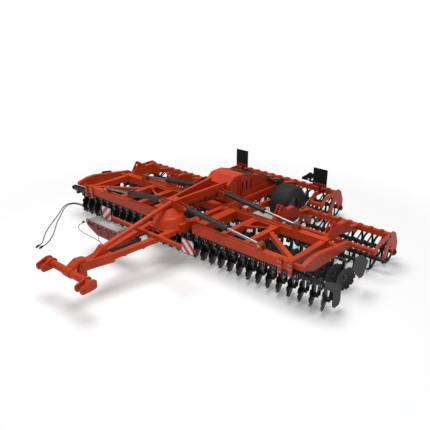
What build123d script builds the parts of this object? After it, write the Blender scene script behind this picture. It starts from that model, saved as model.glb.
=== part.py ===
from build123d import *
import os
from math import cos, pi, radians, sin, tan

# Trailed folding compact disc harrow. Millimetres: X to the right, Y to the rear, Z up, ground at Z = 0.
# While it is drawn, Y = 0 is the front row of discs. Every piece is moved to the origin when it is saved:
# the ground under the middle of the machine's length.

# ---- driving dimensions -------------------------------------------------------------------------------
RUNNING_GAP = 1.0        # radial clearance of shafts that turn
SWING_GAP = 8.0          # side clearance of lugs, eyes and arms that swing
PLATE = 20.0             # common plate of lugs and brackets

# discs
DISC_RADIUS = 255.0
DISC_THICK = 7.0
DISH_DEPTH = 50.0        # how far the middle stands off the plane of the rim
DISC_TEETH = 10
NOTCH_RADIUS = 34.0
NOTCH_DEPTH = 26.0
DISC_PITCH = 250.0
DISC_YAW = 17.0          # turn of each disc from the line of travel
FRONT_DISCS = 30
REAR_DISCS = 30
REAR_SHIFT = -125.0      # sideways step of the rear row from the front row
REAR_ROW_Y = 930.0
HUB_RADIUS = 50.0
HUB_LENGTH = 65.0
ARM_WIDTH = 50.0
ARM_DEPTH = 62.0
ARM_BACK = 85.0          # how far the knee of an arm stands behind its disc's middle
ARM_LIFT = 70.0          # knee's height over the disc
ARM_BEND = 90.0          # inner radius of the knee
CLAMP_WIDTH = 70.0
CLAMP_LENGTH = 140.0
CLAMP_HEIGHT = 60.0
TOOLBAR = 80.0           # square bar under the beams that carries a row
TOOLBAR_END = 8.0        # how far it runs past the middle of the last arm

# wings
HINGE_X = 520.0
HINGE_Z = 980.0
HINGE_RADIUS = 45.0
HINGE_WIDTH = 70.0
FRAME_TOP = 970.0
BEAM_HEIGHT = 180.0
FRONT_BEAM_Y = -320.0
FRONT_BEAM_WIDTH = 150.0
REAR_BEAM_Y = 900.0
REAR_BEAM_WIDTH = 160.0
WING_INNER_X = 600.0
WING_OUTER_X = 3080.0
STRINGER_X = (1300.0, 1900.0, 3010.0)
STRINGER_WIDTH = 120.0
STRINGER_HEIGHT = 140.0
BRACE_SIZE = 100.0
INNER_ARM_X = 690.0
INNER_ARM_WIDTH = 220.0
INNER_ARM_RISE = 25.0    # how far its top stands over the frame
GUSSET_TOP = 30.0        # how far the gusset lies under the frame's top
WINDOW_RADIUS = 70.0
END_PLATE_X = (2860.0, 3090.0)
END_PLATE_WIDTH = 90.0
END_PLATE_RISE = 50.0
END_PLATE_FOOT = 690.0

# side arms and deflectors at the outer ends of the wings
SIDE_ARM_X = 3310.0
SIDE_ARM_THICK = 90.0
SIDE_STUB = 80.0
DEFLECTOR_X = {"right": 3775.0, "left": 3775.0}
REAR_DEFLECTOR_X = {"right": 3780.0, "left": 3875.0}
DEFLECTOR_BAR = 50.0

# centre frame
RAIL_X = 370.0
RAIL_WIDTH = 120.0
FRAME_FRONT = -560.0
RAIL_REAR = 3150.0
CROSS_DEPTH = 160.0
PLATE_TOP_FRONT = 1400.0
PLATE_TOP_REAR = 1480.0
PLATE_HEIGHT = 300.0
PLATE_THICK = 60.0
PLATE_FRONT_X = 80.0
PLATE_REAR_X = 270.0
PLATE_FRONT_Y = -380.0
POST_HALF = 130.0
POST_LENGTH = 230.0
POST_TOP = 1400.0
DRUM_RADIUS = 290.0
DRUM_Y = -480.0
DRUM_BOTTOM = 850.0
DRUM_TOP = 1060.0
DRUM_NECK = 170.0
TOWER_Y = 1450.0
TOWER_HALF = 350.0
TOWER_WALL = 40.0
TOWER_CORNER = 20.0
SHELF_FRONT = -830.0
SHELF_THICK = 80.0

# drawbar and hitch
DRAWBAR_Z = 740.0
DRAWBAR_TUBE = 110.0
NOSE_HALF_HEIGHT = 90.0
NOSE_TIP_Y = -2640.0
NOSE_REAR_Y = -2130.0
NOSE_TIP_HALF = 90.0
NOSE_REAR_HALF = 200.0
FIN_HALF = 65.0
FIN_TOP = 1000.0
FIN_PEAK_Y = -2290.0
FIN_ROOT = 25.0          # depth of its foot inside the nose
CROSSBAR_Y = -1140.0
CROSSBAR_HALF = 1400.0
CROSSBAR_SIZE = 70.0
TOP_TUBE_RADIUS = 50.0
STRUT_RADIUS = 47.0
STRUT_ROD = 22.0
YOKE_THICK = 45.0
YOKE_HALF = 85.0
SWIVEL_Y = -2760.0
SWIVEL_RADIUS = 60.0
SWIVEL_BARREL = 100.0
BARREL_TOP = 850.0
BARREL_BOTTOM = 540.0
HITCH_Y = -3030.0
HITCH_Z = 720.0
HITCH_TUBE_RADIUS = 75.0
HITCH_HALF = 720.0
SLEEVE_HALF = 100.0
SLEEVE_WALL = 18.0
HITCH_PIN_Y = -3200.0
HITCH_PIN_Z = 680.0
HITCH_PIN_RADIUS = 18.0
HITCH_FRONT_Y = -3280.0
CLEVIS_PLATE = 45.0
CLEVIS_GAP = 110.0
CLEVIS_CORNER = 50.0

# ring rollers
RING_RADIUS = 300.0
RING_WALL = 32.0
RING_WIDTH = 45.0
RING_SIDES = 12
RING_PITCH = 250.0
RING_SPOKES = 3
SPOKE_THICK = 14.0
ROLLER_SHAFT = 45.0
ROLLER_STUB = 28.0
WING_ROLLER_Y = (2050.0, 2570.0)
CENTRE_ROLLER_Y = (3520.0, 4040.0)
ROLLER_BEAM_Z = 770.0
ROLLER_BEAM = 110.0
WING_ROLLER_INNER = 1580.0
WING_ROLLER_OUTER = 3760.0
CENTRE_ROLLER_HALF = 1600.0
ROCKER_THICK = 25.0
ROCKER_FOOT = 75.0       # half the width of a leg round its bearing
ROCKER_CORNER = 30.0
ROLLER_ARM_WIDTH = 110.0
WING_ROLLER_ARM_X = (1690.0, 2960.0)
SCRAPER_MOUNT = (70.0, 55.0, 32.0)

# transport wheels
TYRE_RADIUS = 465.0
TYRE_WIDTH = 500.0
TYRE_SHOULDER = 60.0
RIM_RADIUS = 230.0
RIM_WIDTH = 400.0
RIM_DISH = 110.0
RIM_LIP = 25.0
WHEEL_HUB_RADIUS = 95.0
WHEEL_X = 900.0
WHEEL_Y = 2650.0
WHEEL_Z = 660.0
WHEEL_PIVOT_Y = 1500.0
WHEEL_PIVOT_DROP = 90.0  # pivot below the rails
WHEEL_ARM_X = 560.0
WHEEL_ARM_WIDTH = 90.0
WHEEL_ARM_HEIGHT = 140.0
PIVOT_RADIUS = 55.0
AXLE_RADIUS = 45.0

# folding cylinders
CYL_BASE_X = 380.0
CYL_BASE_Z = 1270.0
CYL_EYE_X = 2330.0
CYL_EYE_Z = 1062.0
BARREL_RADIUS = 55.0
BARREL_LENGTH = 1130.0
GLAND_RADIUS = 62.0
GLAND_LENGTH = 70.0
ROD_RADIUS = 30.0
ROD_INSIDE = 300.0       # rod inside the barrel with the wing down
BARREL_FLOOR = 90.0      # solid foot of the barrel past its eye
EYE_RADIUS = 55.0
EYE_WIDTH = 70.0
PIN_RADIUS = 22.0

# boards, platform and lamp
BOARD_WIDTH = 330.0
BOARD_HEIGHT = 310.0
REAR_BOARD_WIDTH = 400.0
REAR_BOARD_HEIGHT = 460.0
REAR_BOARD_Y = 3500.0
REAR_BOARD_FOOT = 950.0
BOARD_THICK = 12.0
BOARD_X = 1250.0
BOARD_POST = 40.0
LAMP_X = 940.0
LAMP_Z = 1160.0
LAMP_RADIUS = 62.0
STEP_INNER_X = -560.0
STEP_OUTER_X = -1620.0
STEP_DEPTH = 250.0
STEP_TOP = 800.0
STEP_BAR = 8.0
STEP_RUNGS = 22
SKIRT_HEIGHT = 280.0
SKIRT_THICK = 12.0

# hoses and cable
HOSE_RADIUS = 11.0
CABLE_RADIUS = 6.0
CORD_ARC_SHARE = 0.45    # share of the shorter run that an arc takes from each side of a corner
COUPLING_RADIUS = 24.0
COUPLING_LENGTH = 130.0

WHEEL_PIVOT_Z = FRAME_TOP - BEAM_HEIGHT - WHEEL_PIVOT_DROP
FRAME_UNDER = FRAME_TOP - BEAM_HEIGHT
CROSSBAR_Z = DRAWBAR_Z + NOSE_HALF_HEIGHT + DRAWBAR_TUBE / 2
MACHINE_FRONT = HITCH_FRONT_Y
MACHINE_REAR = CENTRE_ROLLER_Y[1] + RING_RADIUS
ORIGIN_Y = (MACHINE_FRONT + MACHINE_REAR) / 2


# ---- making and saving pieces -------------------------------------------------------------------------
def save(name, *solids):
    """Write one node, moved to the machine's origin."""
    body = Compound(children=[s for shape in solids for s in shape.solids()])
    export_step(body.moved(Location((0, -ORIGIN_Y, 0))), f"parts/{name}.step")


def box(x, y, z, centre):
    return Pos(*centre) * Box(x, y, z)


def along(start, end):
    """Plane at start that looks along the line to end, its X axis level."""
    run = Vector(*end) - Vector(*start)
    level = Vector(0, 0, 1).cross(run)
    if level.length < 1e-6:
        level = Vector(1, 0, 0)
    return Plane(origin=start, x_dir=level.normalized(), z_dir=run.normalized()), run.length


def beam(start, end, width, height):
    plane, length = along(start, end)
    return extrude(plane * Rectangle(width, height), length)


def rod(start, end, radius):
    plane, length = along(start, end)
    return extrude(plane * Circle(radius), length)


def face_of(plane, outline, corner):
    face = plane * Polygon(*outline, align=None)
    return fillet(face.vertices(), corner) if corner else face


def side_plate(outline, x_from, thick, corner=0):
    """Plate across X from an outline of (y, z) points."""
    return extrude(face_of(Plane.YZ.offset(x_from), outline, corner), thick, dir=(1, 0, 0))


def cross_plate(outline, y_from, thick, corner=0):
    """Plate across Y from an outline of (x, z) points."""
    plane = Plane(origin=(0, y_from, 0), x_dir=(1, 0, 0), z_dir=(0, -1, 0))
    return extrude(face_of(plane, outline, corner), thick, dir=(0, 1, 0))


def flat_plate(outline, z_from, thick, corner=0):
    """Level plate from an outline of (x, y) points."""
    return extrude(face_of(Plane.XY.offset(z_from), outline, corner), thick, dir=(0, 0, 1))


def cross_rod(x, y, z, radius, length):
    """Round bar along X with its middle at the point."""
    return Pos(x, y, z) * Rot(0, 90, 0) * Cylinder(radius, length)


def long_rod(x, y, z, radius, length):
    """Round bar along Y with its middle at the point."""
    return Pos(x, y, z) * Rot(90, 0, 0) * Cylinder(radius, length)


def on_side(shape, sign):
    return shape if sign > 0 else shape.mirror(Plane.YZ)


SIDES = (("right", 1), ("left", -1))


# ---- discs --------------------------------------------------------------------------------------------
def dish():
    """Notched disc about the X axis, hollow towards -X."""
    curve = (DISC_RADIUS ** 2 + DISH_DEPTH ** 2) / (2 * DISH_DEPTH)
    back = Pos(DISH_DEPTH / 2 - curve, 0, 0) * Rot(0, 0, 180) * Sphere(curve)
    hollow = Pos(DISH_DEPTH / 2 - curve - DISC_THICK, 0, 0) * Rot(0, 0, 180) * Sphere(curve)
    blank = cross_rod(0, 0, 0, DISC_RADIUS, 2 * DISH_DEPTH)
    for tooth in range(DISC_TEETH):
        middle = DISC_RADIUS - NOTCH_DEPTH + NOTCH_RADIUS
        blank -= Rot(360 / DISC_TEETH * tooth, 0, 0) * cross_rod(0, middle, 0, NOTCH_RADIUS, 2 * DISH_DEPTH)
    return (blank & back) - hollow


def turned(y, back):
    """Where a disc sits: its middle over Y = y, turned to the side given by back."""
    return Pos(0, y, DISC_RADIUS) * Rot(0, 0, back * DISC_YAW)


def disc(y, back):
    """One disc of a row, its hub on the side given by back."""
    return turned(y, back) * on_side(dish(), back)


def disc_arm(y, back, beam_y):
    """Clamp under the beam, bent arm down behind the disc, and hub."""
    clamp_z = FRAME_UNDER - TOOLBAR - CLAMP_HEIGHT / 2
    reach = DISH_DEPTH / 2 + HUB_LENGTH
    hub = turned(y, back) * cross_rod(back * (DISH_DEPTH / 2 + HUB_LENGTH / 2), 0, 0, HUB_RADIUS, HUB_LENGTH)
    tip = (turned(y, back) * Pos(back * reach, 0, 0)).position
    clamp = box(CLAMP_WIDTH, CLAMP_LENGTH, CLAMP_HEIGHT, (tip.X, beam_y, clamp_z))
    knee = (tip.X, y + ARM_BACK, 2 * DISC_RADIUS + ARM_LIFT + ARM_DEPTH / 2)
    path = FilletPolyline((tip.X, beam_y, clamp_z), knee, (tip.X, tip.Y, DISC_RADIUS), radius=ARM_BEND)
    profile = Plane(origin=path @ 0, x_dir=(1, 0, 0), z_dir=path % 0) * Rectangle(ARM_WIDTH, ARM_DEPTH)
    return clamp.fuse(sweep(profile, path=path), hub)


def row_places(count, shift):
    first = -(count - 1) * DISC_PITCH / 2
    return [first + shift + DISC_PITCH * number for number in range(count)]


def disc_rows():
    # row, places along X, Y of the row, side of the hubs, Y of the beam that carries it
    rows = (("front", row_places(FRONT_DISCS, 0.0), 0.0, 1, FRONT_BEAM_Y),
            ("rear", row_places(REAR_DISCS, REAR_SHIFT), REAR_ROW_Y, -1, REAR_BEAM_Y))
    # outline of the shield at the row's outer end, its place along X on each side
    shields = {"front": (((0, 150), (60, 100), (200, 100), (260, 160), (250, 520), (-250, 790), (-360, 790),
                          (-360, 710), (-40, 470)), DEFLECTOR_X),
               "rear": (((600, 700), (690, 900), (960, 860), (1250, 630), (1100, 350), (960, 350)),
                        REAR_DEFLECTOR_X)}
    arms = {"centre": [], "right": [], "left": []}
    centre = []
    for name, places, y, back, beam_y in rows:
        one_disc = disc(y, back)
        one_arm = disc_arm(y, back, beam_y)
        groups = {"centre": [x for x in places if abs(x) < HINGE_X],
                  "right": [x for x in places if x >= HINGE_X],
                  "left": [x for x in places if x <= -HINGE_X]}
        for group, xs in groups.items():
            arms[group] += [Pos(x, 0, 0) * one_arm for x in xs]
            step = back * (DISH_DEPTH / 2 + HUB_LENGTH) * cos(DISC_YAW * pi / 180)
            ends = (min(xs) + step - TOOLBAR_END, max(xs) + step + TOOLBAR_END)
            arms[group].append(box(ends[1] - ends[0], TOOLBAR, TOOLBAR,
                                   (sum(ends) / 2, beam_y, FRAME_UNDER - TOOLBAR / 2)))
            discs = [Pos(x, 0, 0) * one_disc for x in xs]
            if group == "centre":
                centre += discs
                continue
            save(f"{name}_discs_{group}", *discs)
            outline, shield_x = shields[name]
            sign = 1 if group == "right" else -1
            arms[group].append(on_side(deflector(outline, shield_x[group], max(sign * ends[0], sign * ends[1]),
                                                 beam_y), sign))
    save("centre_discs", *centre)
    for group, pieces in arms.items():
        save(f"disc_arms_{group}", *pieces)


def deflector(outline, x, start, y):
    """Shield that keeps soil in at the outer end of a row, on a bar from the end of its toolbar."""
    bar = box(x - start, DEFLECTOR_BAR, DEFLECTOR_BAR, ((x + start) / 2, y, FRAME_UNDER - TOOLBAR / 2))
    return side_plate(outline, x, PLATE, corner=25) + bar


# ---- wings --------------------------------------------------------------------------------------------
def wings():
    z = FRAME_TOP - BEAM_HEIGHT / 2
    front_back = FRONT_BEAM_Y + FRONT_BEAM_WIDTH / 2
    rear_front = REAR_BEAM_Y - REAR_BEAM_WIDTH / 2
    length = WING_OUTER_X - WING_INNER_X
    middle = (WING_OUTER_X + WING_INNER_X) / 2
    rows = (("front", FRONT_BEAM_Y, FRONT_BEAM_WIDTH), ("rear", REAR_BEAM_Y, REAR_BEAM_WIDTH))
    bars = {}
    for name, y, width in rows:
        bars[name] = box(length, width, BEAM_HEIGHT, (middle, y, z)) + eye_lugs(y)
    for x in END_PLATE_X:
        bars["front"] += end_plate(x)
    stringers = [beam((x, front_back, z), (x, rear_front, z), STRINGER_WIDTH, STRINGER_HEIGHT)
                 for x in STRINGER_X]
    start = (STRINGER_X[1] + STRINGER_WIDTH / 2, rear_front - 300, z)
    end = (STRINGER_X[2] - STRINGER_WIDTH / 2, front_back + 80, z)
    brace = beam(start, end, BRACE_SIZE, BRACE_SIZE) - stringers[1] - stringers[2]
    tubes = Compound(children=[inner_arm(front_back, rear_front), gusset(rear_front)] + stringers)
    sides = Compound(children=[brace, side_arm()])
    for side, sign in SIDES:
        for name, bar in bars.items():
            save(f"wing_{name}_beam_{side}", on_side(bar, sign))
        save(f"wing_brace_{side}", on_side(sides, sign))
        save(f"wing_stringers_{side}", on_side(tubes, sign))


def inner_arm(front_back, rear_front):
    """Deep box along the hinges, with the bosses that turn on their pins."""
    inner = INNER_ARM_X - INNER_ARM_WIDTH / 2
    outer = INNER_ARM_X + INNER_ARM_WIDTH / 2
    outline = ((inner, front_back), (outer, front_back), (outer, rear_front), (inner, rear_front))
    arm = flat_plate(outline, FRAME_UNDER, BEAM_HEIGHT + INNER_ARM_RISE)
    arm = fillet(arm.edges().filter_by(Axis.Y).group_by(Axis.Z)[-1], INNER_ARM_RISE)
    for y in (front_back + HINGE_WIDTH, rear_front - HINGE_WIDTH):
        web = box(inner - HINGE_X, HINGE_WIDTH, HINGE_RADIUS * 1.6,
                  ((inner + HINGE_X) / 2, y, HINGE_Z - HINGE_RADIUS * 0.8))
        arm += long_rod(HINGE_X, y, HINGE_Z, HINGE_RADIUS, HINGE_WIDTH) + web
        arm -= long_rod(HINGE_X, y, HINGE_Z, PIN_RADIUS + RUNNING_GAP, HINGE_WIDTH)
    return arm


def gusset(rear_front):
    """Level plate between two stringers with a rounded window through it."""
    inner = STRINGER_X[0] + STRINGER_WIDTH / 2
    outer = STRINGER_X[1] - STRINGER_WIDTH / 2
    front = rear_front - 470
    outline = ((inner, front), (outer, rear_front - 180), (outer, rear_front), (inner, rear_front))
    window = ((inner + 50, front + 110), (outer - 60, rear_front - 190), (outer - 60, rear_front - 50),
              (inner + 50, rear_front - 50))
    z = FRAME_TOP - GUSSET_TOP - PLATE
    return flat_plate(outline, z, PLATE) - flat_plate(window, z, PLATE, corner=WINDOW_RADIUS / 2)


def end_plate(x):
    """Stiff plate that hangs from the front beam where it ends."""
    half = END_PLATE_WIDTH / 2
    top = FRAME_TOP + END_PLATE_RISE
    outline = ((x - half, top), (x + half, top), (x + half, FRAME_UNDER), (x + half * 0.7, END_PLATE_FOOT),
               (x - half * 0.7, END_PLATE_FOOT), (x - half, FRAME_UNDER))
    return cross_plate(outline, FRONT_BEAM_Y - FRONT_BEAM_WIDTH / 2 - PLATE * 1.5, PLATE * 1.5, corner=12)


def side_arm():
    """Deep arm beside the wing's end, on two stubs from the beams."""
    outline = ((-450, 930), (-430, 1010), (-180, 1075), (60, 1085), (1180, 930), (1240, 890), (1240, 805),
               (1180, 796), (150, 796), (-120, 802))
    arm = side_plate(outline, SIDE_ARM_X, SIDE_ARM_THICK, corner=25)
    for y in (FRONT_BEAM_Y + 20, REAR_BEAM_Y):
        arm += box(SIDE_ARM_X - WING_OUTER_X, SIDE_STUB, SIDE_STUB,
                   ((SIDE_ARM_X + WING_OUTER_X) / 2, y, FRAME_TOP - SIDE_STUB))
    return arm


def eye_lugs(row):
    """Pair of lugs on a wing beam, either side of the rod's eye."""
    outline = ((CYL_EYE_X - 90, FRAME_TOP), (CYL_EYE_X + 90, FRAME_TOP),
               (CYL_EYE_X + 45, CYL_EYE_Z + EYE_RADIUS), (CYL_EYE_X - 45, CYL_EYE_Z + EYE_RADIUS))
    offset = EYE_WIDTH / 2 + SWING_GAP
    return (cross_plate(outline, row + offset, PLATE)
            + cross_plate(outline, row - offset - PLATE, PLATE))


# ---- folding cylinders --------------------------------------------------------------------------------
def base_lugs(inner, row):
    """Pair of lugs with the pin that a barrel swings on, from a face at X = inner."""
    offset = EYE_WIDTH / 2 + SWING_GAP
    lugs = []
    for y in (row + offset, row - offset - PLATE):
        outline = ((inner, CYL_BASE_Z - 75), (CYL_BASE_X, CYL_BASE_Z - 45), (CYL_BASE_X + 45, CYL_BASE_Z),
                   (CYL_BASE_X, CYL_BASE_Z + 45), (inner, CYL_BASE_Z + 60))
        lugs.append(cross_plate(outline, y, PLATE))
    return lugs[0] + lugs[1] + long_rod(CYL_BASE_X, row, CYL_BASE_Z, PIN_RADIUS, 2 * (offset + PLATE))


def cylinders():
    for row, y in (("front", FRONT_BEAM_Y), ("rear", REAR_BEAM_Y)):
        base = Vector(CYL_BASE_X, y, CYL_BASE_Z)
        tip = Vector(CYL_EYE_X, y, CYL_EYE_Z)
        way = (tip - base).normalized()
        gland = base + way * BARREL_LENGTH
        hollow = rod(base + way * (EYE_RADIUS + BARREL_FLOOR), gland + way, ROD_RADIUS + RUNNING_GAP)
        barrel = long_rod(*base, EYE_RADIUS, EYE_WIDTH) + rod(base + way * (EYE_RADIUS - 3), gland, BARREL_RADIUS)
        barrel += rod(gland - way * GLAND_LENGTH, gland, GLAND_RADIUS)
        barrel -= hollow + long_rod(*base, PIN_RADIUS + RUNNING_GAP, EYE_WIDTH * 2)
        shaft = rod(gland - way * ROD_INSIDE, tip, ROD_RADIUS) + long_rod(*tip, EYE_RADIUS, EYE_WIDTH)
        for side, sign in SIDES:
            save(f"{row}_barrel_{side}", on_side(barrel, sign))
            save(f"{row}_rod_{side}", on_side(shaft, sign))


# ---- ring rollers -------------------------------------------------------------------------------------
def ring():
    outer = Plane.YZ.offset(-RING_WIDTH / 2) * RegularPolygon(RING_RADIUS, RING_SIDES)
    inner = Plane.YZ.offset(-RING_WIDTH / 2) * RegularPolygon(RING_RADIUS - RING_WALL, RING_SIDES)
    hoop = extrude(outer, RING_WIDTH) - extrude(inner, RING_WIDTH)
    reach = RING_RADIUS - RING_WALL * 0.8
    spokes = [Rot(360 / RING_SPOKES * turn, 0, 0) * Pos(0, 0, reach / 2) * Box(SPOKE_THICK, RING_WIDTH, reach)
              for turn in range(RING_SPOKES)]
    return hoop.fuse(*spokes)


def rotor(x_from, x_to, y, shift):
    """Shaft with its rings, all one welded piece."""
    count = int((x_to - x_from) // RING_PITCH)
    first = (x_from + x_to) / 2 - (count - 1) * RING_PITCH / 2 + shift
    tube = rod((x_from, 0, 0), (x_to, 0, 0), ROLLER_SHAFT)
    stub = rod((x_from - 40, 0, 0), (x_to + 40, 0, 0), ROLLER_STUB)
    one_ring = ring()
    rings = [Pos(first + number * RING_PITCH, 0, 0) * one_ring for number in range(count)]
    return Pos(0, y, RING_RADIUS) * tube.fuse(stub, *rings)


def rocker(x, ys):
    """Plate that holds one end of both rotors: two bearing legs that meet at a peak on the cross tube."""
    front, rear = ys
    middle = (front + rear) / 2
    z = RING_RADIUS
    foot = ROCKER_FOOT
    peak = ROLLER_BEAM_Z + ROLLER_BEAM / 2 + 30
    outline = ((front - foot, z - 60), (front + foot, z - 60), (middle - 30, z + 250), (middle + 30, z + 250),
               (rear - foot, z - 60), (rear + foot, z - 60), (rear + foot + 15, z + 200), (rear - 40, peak - 80),
               (middle + 90, peak), (middle - 70, peak))
    plate = side_plate(outline, x - ROCKER_THICK / 2, ROCKER_THICK, corner=ROCKER_CORNER)
    for y in ys:
        plate -= cross_rod(x, y, z, ROLLER_STUB + RUNNING_GAP, 2 * ROCKER_THICK)
    return plate


def roller_arm(x, start, middle):
    """Pair of plates from the frame to the cross tube, humped over the joint between them."""
    under = FRAME_UNDER + 20
    low = ROLLER_BEAM_Z - ROLLER_BEAM / 2
    high = ROLLER_BEAM_Z + ROLLER_BEAM / 2
    outline = ((start, under), (start, FRAME_TOP), (start + 190, FRAME_TOP + 290), (start + 250, FRAME_TOP + 280),
               (start + 400, FRAME_TOP + 120), (start + 700, FRAME_TOP + 120), (start + 960, high + 60),
               (middle - ROLLER_BEAM / 2, high), (middle - ROLLER_BEAM / 2, low), (start + 450, under + 60))
    arm = side_plate(outline, x - ROLLER_ARM_WIDTH / 2, ROLLER_ARM_WIDTH, corner=18)
    arm -= box(ROLLER_ARM_WIDTH - 2 * PLATE, 440, 400, (x, start + 260, FRAME_TOP + 250))
    return arm - cross_rod(x, start + 215, FRAME_TOP + 170, 42, 2 * ROLLER_ARM_WIDTH)


def cross_tube(x_from, x_to, middle):
    """Square tube over both rotors with the mounts of the scrapers along it."""
    tube = box(x_to - x_from, ROLLER_BEAM, ROLLER_BEAM, ((x_from + x_to) / 2, middle, ROLLER_BEAM_Z))
    count = int((x_to - x_from) // RING_PITCH)
    first = (x_from + x_to) / 2 - (count - 1) * RING_PITCH / 2
    top = ROLLER_BEAM_Z + ROLLER_BEAM / 2 + SCRAPER_MOUNT[2] / 2
    mounts = [box(*SCRAPER_MOUNT, (first + number * RING_PITCH, middle, top)) for number in range(count)]
    return tube.fuse(*mounts)


def rollers():
    ends = ROCKER_THICK + SWING_GAP
    rear_back = REAR_BEAM_Y + REAR_BEAM_WIDTH / 2
    inner, outer = WING_ROLLER_INNER, WING_ROLLER_OUTER
    middle = sum(WING_ROLLER_Y) / 2
    rotors = {"front": rotor(inner + ends, outer - ends, WING_ROLLER_Y[0], -RING_PITCH / 4),
              "rear": rotor(inner + ends, outer - ends, WING_ROLLER_Y[1], RING_PITCH / 4)}
    plates = Compound(children=[rocker(x, WING_ROLLER_Y)
                                for x in (inner + ROCKER_THICK / 2, outer - ROCKER_THICK / 2)])
    frame = cross_tube(inner + ROCKER_THICK, outer - ROCKER_THICK, middle)
    for x in WING_ROLLER_ARM_X:
        frame += roller_arm(x, rear_back, middle)
    for side, sign in SIDES:
        for name, turning in rotors.items():
            save(f"wing_{name}_rotor_{side}", on_side(turning, sign))
        save(f"wing_rockers_{side}", on_side(plates, sign))
        save(f"wing_roller_frame_{side}", on_side(frame, sign))
    half = CENTRE_ROLLER_HALF
    for name, y, shift in (("front", CENTRE_ROLLER_Y[0], -RING_PITCH / 4),
                           ("rear", CENTRE_ROLLER_Y[1], RING_PITCH / 4)):
        save(f"centre_{name}_rotor", rotor(ends - half, half - ends, y, shift))
    save("centre_rockers", *[rocker(sign * (half - ROCKER_THICK / 2), CENTRE_ROLLER_Y) for _, sign in SIDES])
    middle = sum(CENTRE_ROLLER_Y) / 2
    frame = cross_tube(ROCKER_THICK - half, half - ROCKER_THICK, middle)
    front = (RAIL_REAR, FRAME_TOP - BEAM_HEIGHT / 2)
    for x in (-RAIL_X, RAIL_X):
        outline = ((front[0], front[1] - 80), (front[0], front[1] + 80), (middle - 200, ROLLER_BEAM_Z + 90),
                   (middle, ROLLER_BEAM_Z + 40), (middle, ROLLER_BEAM_Z - 40), (middle - 200, ROLLER_BEAM_Z - 70))
        frame += side_plate(outline, x - RAIL_WIDTH / 2, RAIL_WIDTH)
    save("centre_roller_frame", frame)


# ---- centre frame -------------------------------------------------------------------------------------
def centre_frame():
    z = FRAME_TOP - BEAM_HEIGHT / 2
    rails = [box(RAIL_WIDTH, RAIL_REAR - FRAME_FRONT, BEAM_HEIGHT, (x, (RAIL_REAR + FRAME_FRONT) / 2, z))
             for x in (-RAIL_X, RAIL_X)]
    front_back = FRONT_BEAM_Y + FRONT_BEAM_WIDTH / 2
    rear_front = REAR_BEAM_Y - REAR_BEAM_WIDTH / 2
    for y in (front_back + HINGE_WIDTH, rear_front - HINGE_WIDTH):
        for number, sign in ((1, 1), (0, -1)):
            rails[number] += on_side(hinge_fork(y), sign)
    save("centre_rails", *rails)
    between = 2 * RAIL_X - RAIL_WIDTH
    places = (FRONT_BEAM_Y + 60, REAR_BEAM_Y, RAIL_REAR - CROSS_DEPTH / 2)
    cross = [box(between, CROSS_DEPTH, BEAM_HEIGHT, (0, y, z)) for y in places]
    pivot = box(between, CROSS_DEPTH, BEAM_HEIGHT, (0, WHEEL_PIVOT_Y, z))
    drop = WHEEL_PIVOT_DROP + PIVOT_RADIUS
    for x in (-200, 200):
        outline = ((WHEEL_PIVOT_Y - drop, FRAME_UNDER), (WHEEL_PIVOT_Y + drop, FRAME_UNDER),
                   (WHEEL_PIVOT_Y + drop / 2, FRAME_UNDER - drop), (WHEEL_PIVOT_Y - drop / 2, FRAME_UNDER - drop))
        pivot += side_plate(outline, x - 30, 60)
    pivot -= cross_rod(0, WHEEL_PIVOT_Y, WHEEL_PIVOT_Z, PIVOT_RADIUS + RUNNING_GAP, between)
    save("centre_cross_beams", *cross, pivot)
    post = front_post()
    save("centre_front_box", post)
    sides = tower()
    save("tower", sides)
    tops = []
    share = (REAR_BEAM_Y - PLATE_FRONT_Y) / (TOWER_Y - PLATE_FRONT_Y)
    lug_root = PLATE_FRONT_X + (PLATE_REAR_X - PLATE_FRONT_X) * share
    for sign in (1, -1):
        start = Vector(sign * PLATE_FRONT_X, PLATE_FRONT_Y, PLATE_TOP_FRONT - PLATE_HEIGHT / 2)
        end = Vector(sign * PLATE_REAR_X, TOWER_Y, PLATE_TOP_REAR - PLATE_HEIGHT / 2)
        plate = beam(start, end, PLATE_THICK, PLATE_HEIGHT) + on_side(base_lugs(lug_root, REAR_BEAM_Y), sign)
        tops.append(plate - post - sides)
    save("tower_plates", *tops)


def front_post():
    """Round drum at the front of the frame, drawn in to the post that the front cylinders push on."""
    drum = Pos(0, DRUM_Y, (DRUM_BOTTOM + DRUM_TOP) / 2) * Cylinder(DRUM_RADIUS, DRUM_TOP - DRUM_BOTTOM)
    drum += Pos(0, DRUM_Y, DRUM_TOP + DRUM_NECK / 2) * Cone(DRUM_RADIUS, POST_HALF, DRUM_NECK)
    y = FRONT_BEAM_Y
    drum += box(2 * POST_HALF, POST_LENGTH, POST_TOP - FRAME_TOP, (0, y, (POST_TOP + FRAME_TOP) / 2))
    for sign in (1, -1):
        drum += on_side(base_lugs(POST_HALF, y), sign)
    rails = box(4 * RAIL_X, RAIL_REAR, BEAM_HEIGHT, (0, FRAME_FRONT + RAIL_REAR / 2, FRAME_TOP - BEAM_HEIGHT / 2))
    return drum - rails + drum_shelf()


def drum_shelf():
    """Thick plate in front of the rails that carries the drum and takes the drawbar's tubes."""
    outline = ((-RAIL_X, FRAME_FRONT), (-RAIL_X, SHELF_FRONT + 120), (-RAIL_X + 140, SHELF_FRONT),
               (RAIL_X - 140, SHELF_FRONT), (RAIL_X, SHELF_FRONT + 120), (RAIL_X, FRAME_FRONT))
    shelf = flat_plate(outline, FRAME_UNDER, SHELF_THICK)
    for x in (-110, 110):
        shelf -= box(160, 200, 34, (x, SHELF_FRONT, FRAME_UNDER + SHELF_THICK / 2))
    return shelf


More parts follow.
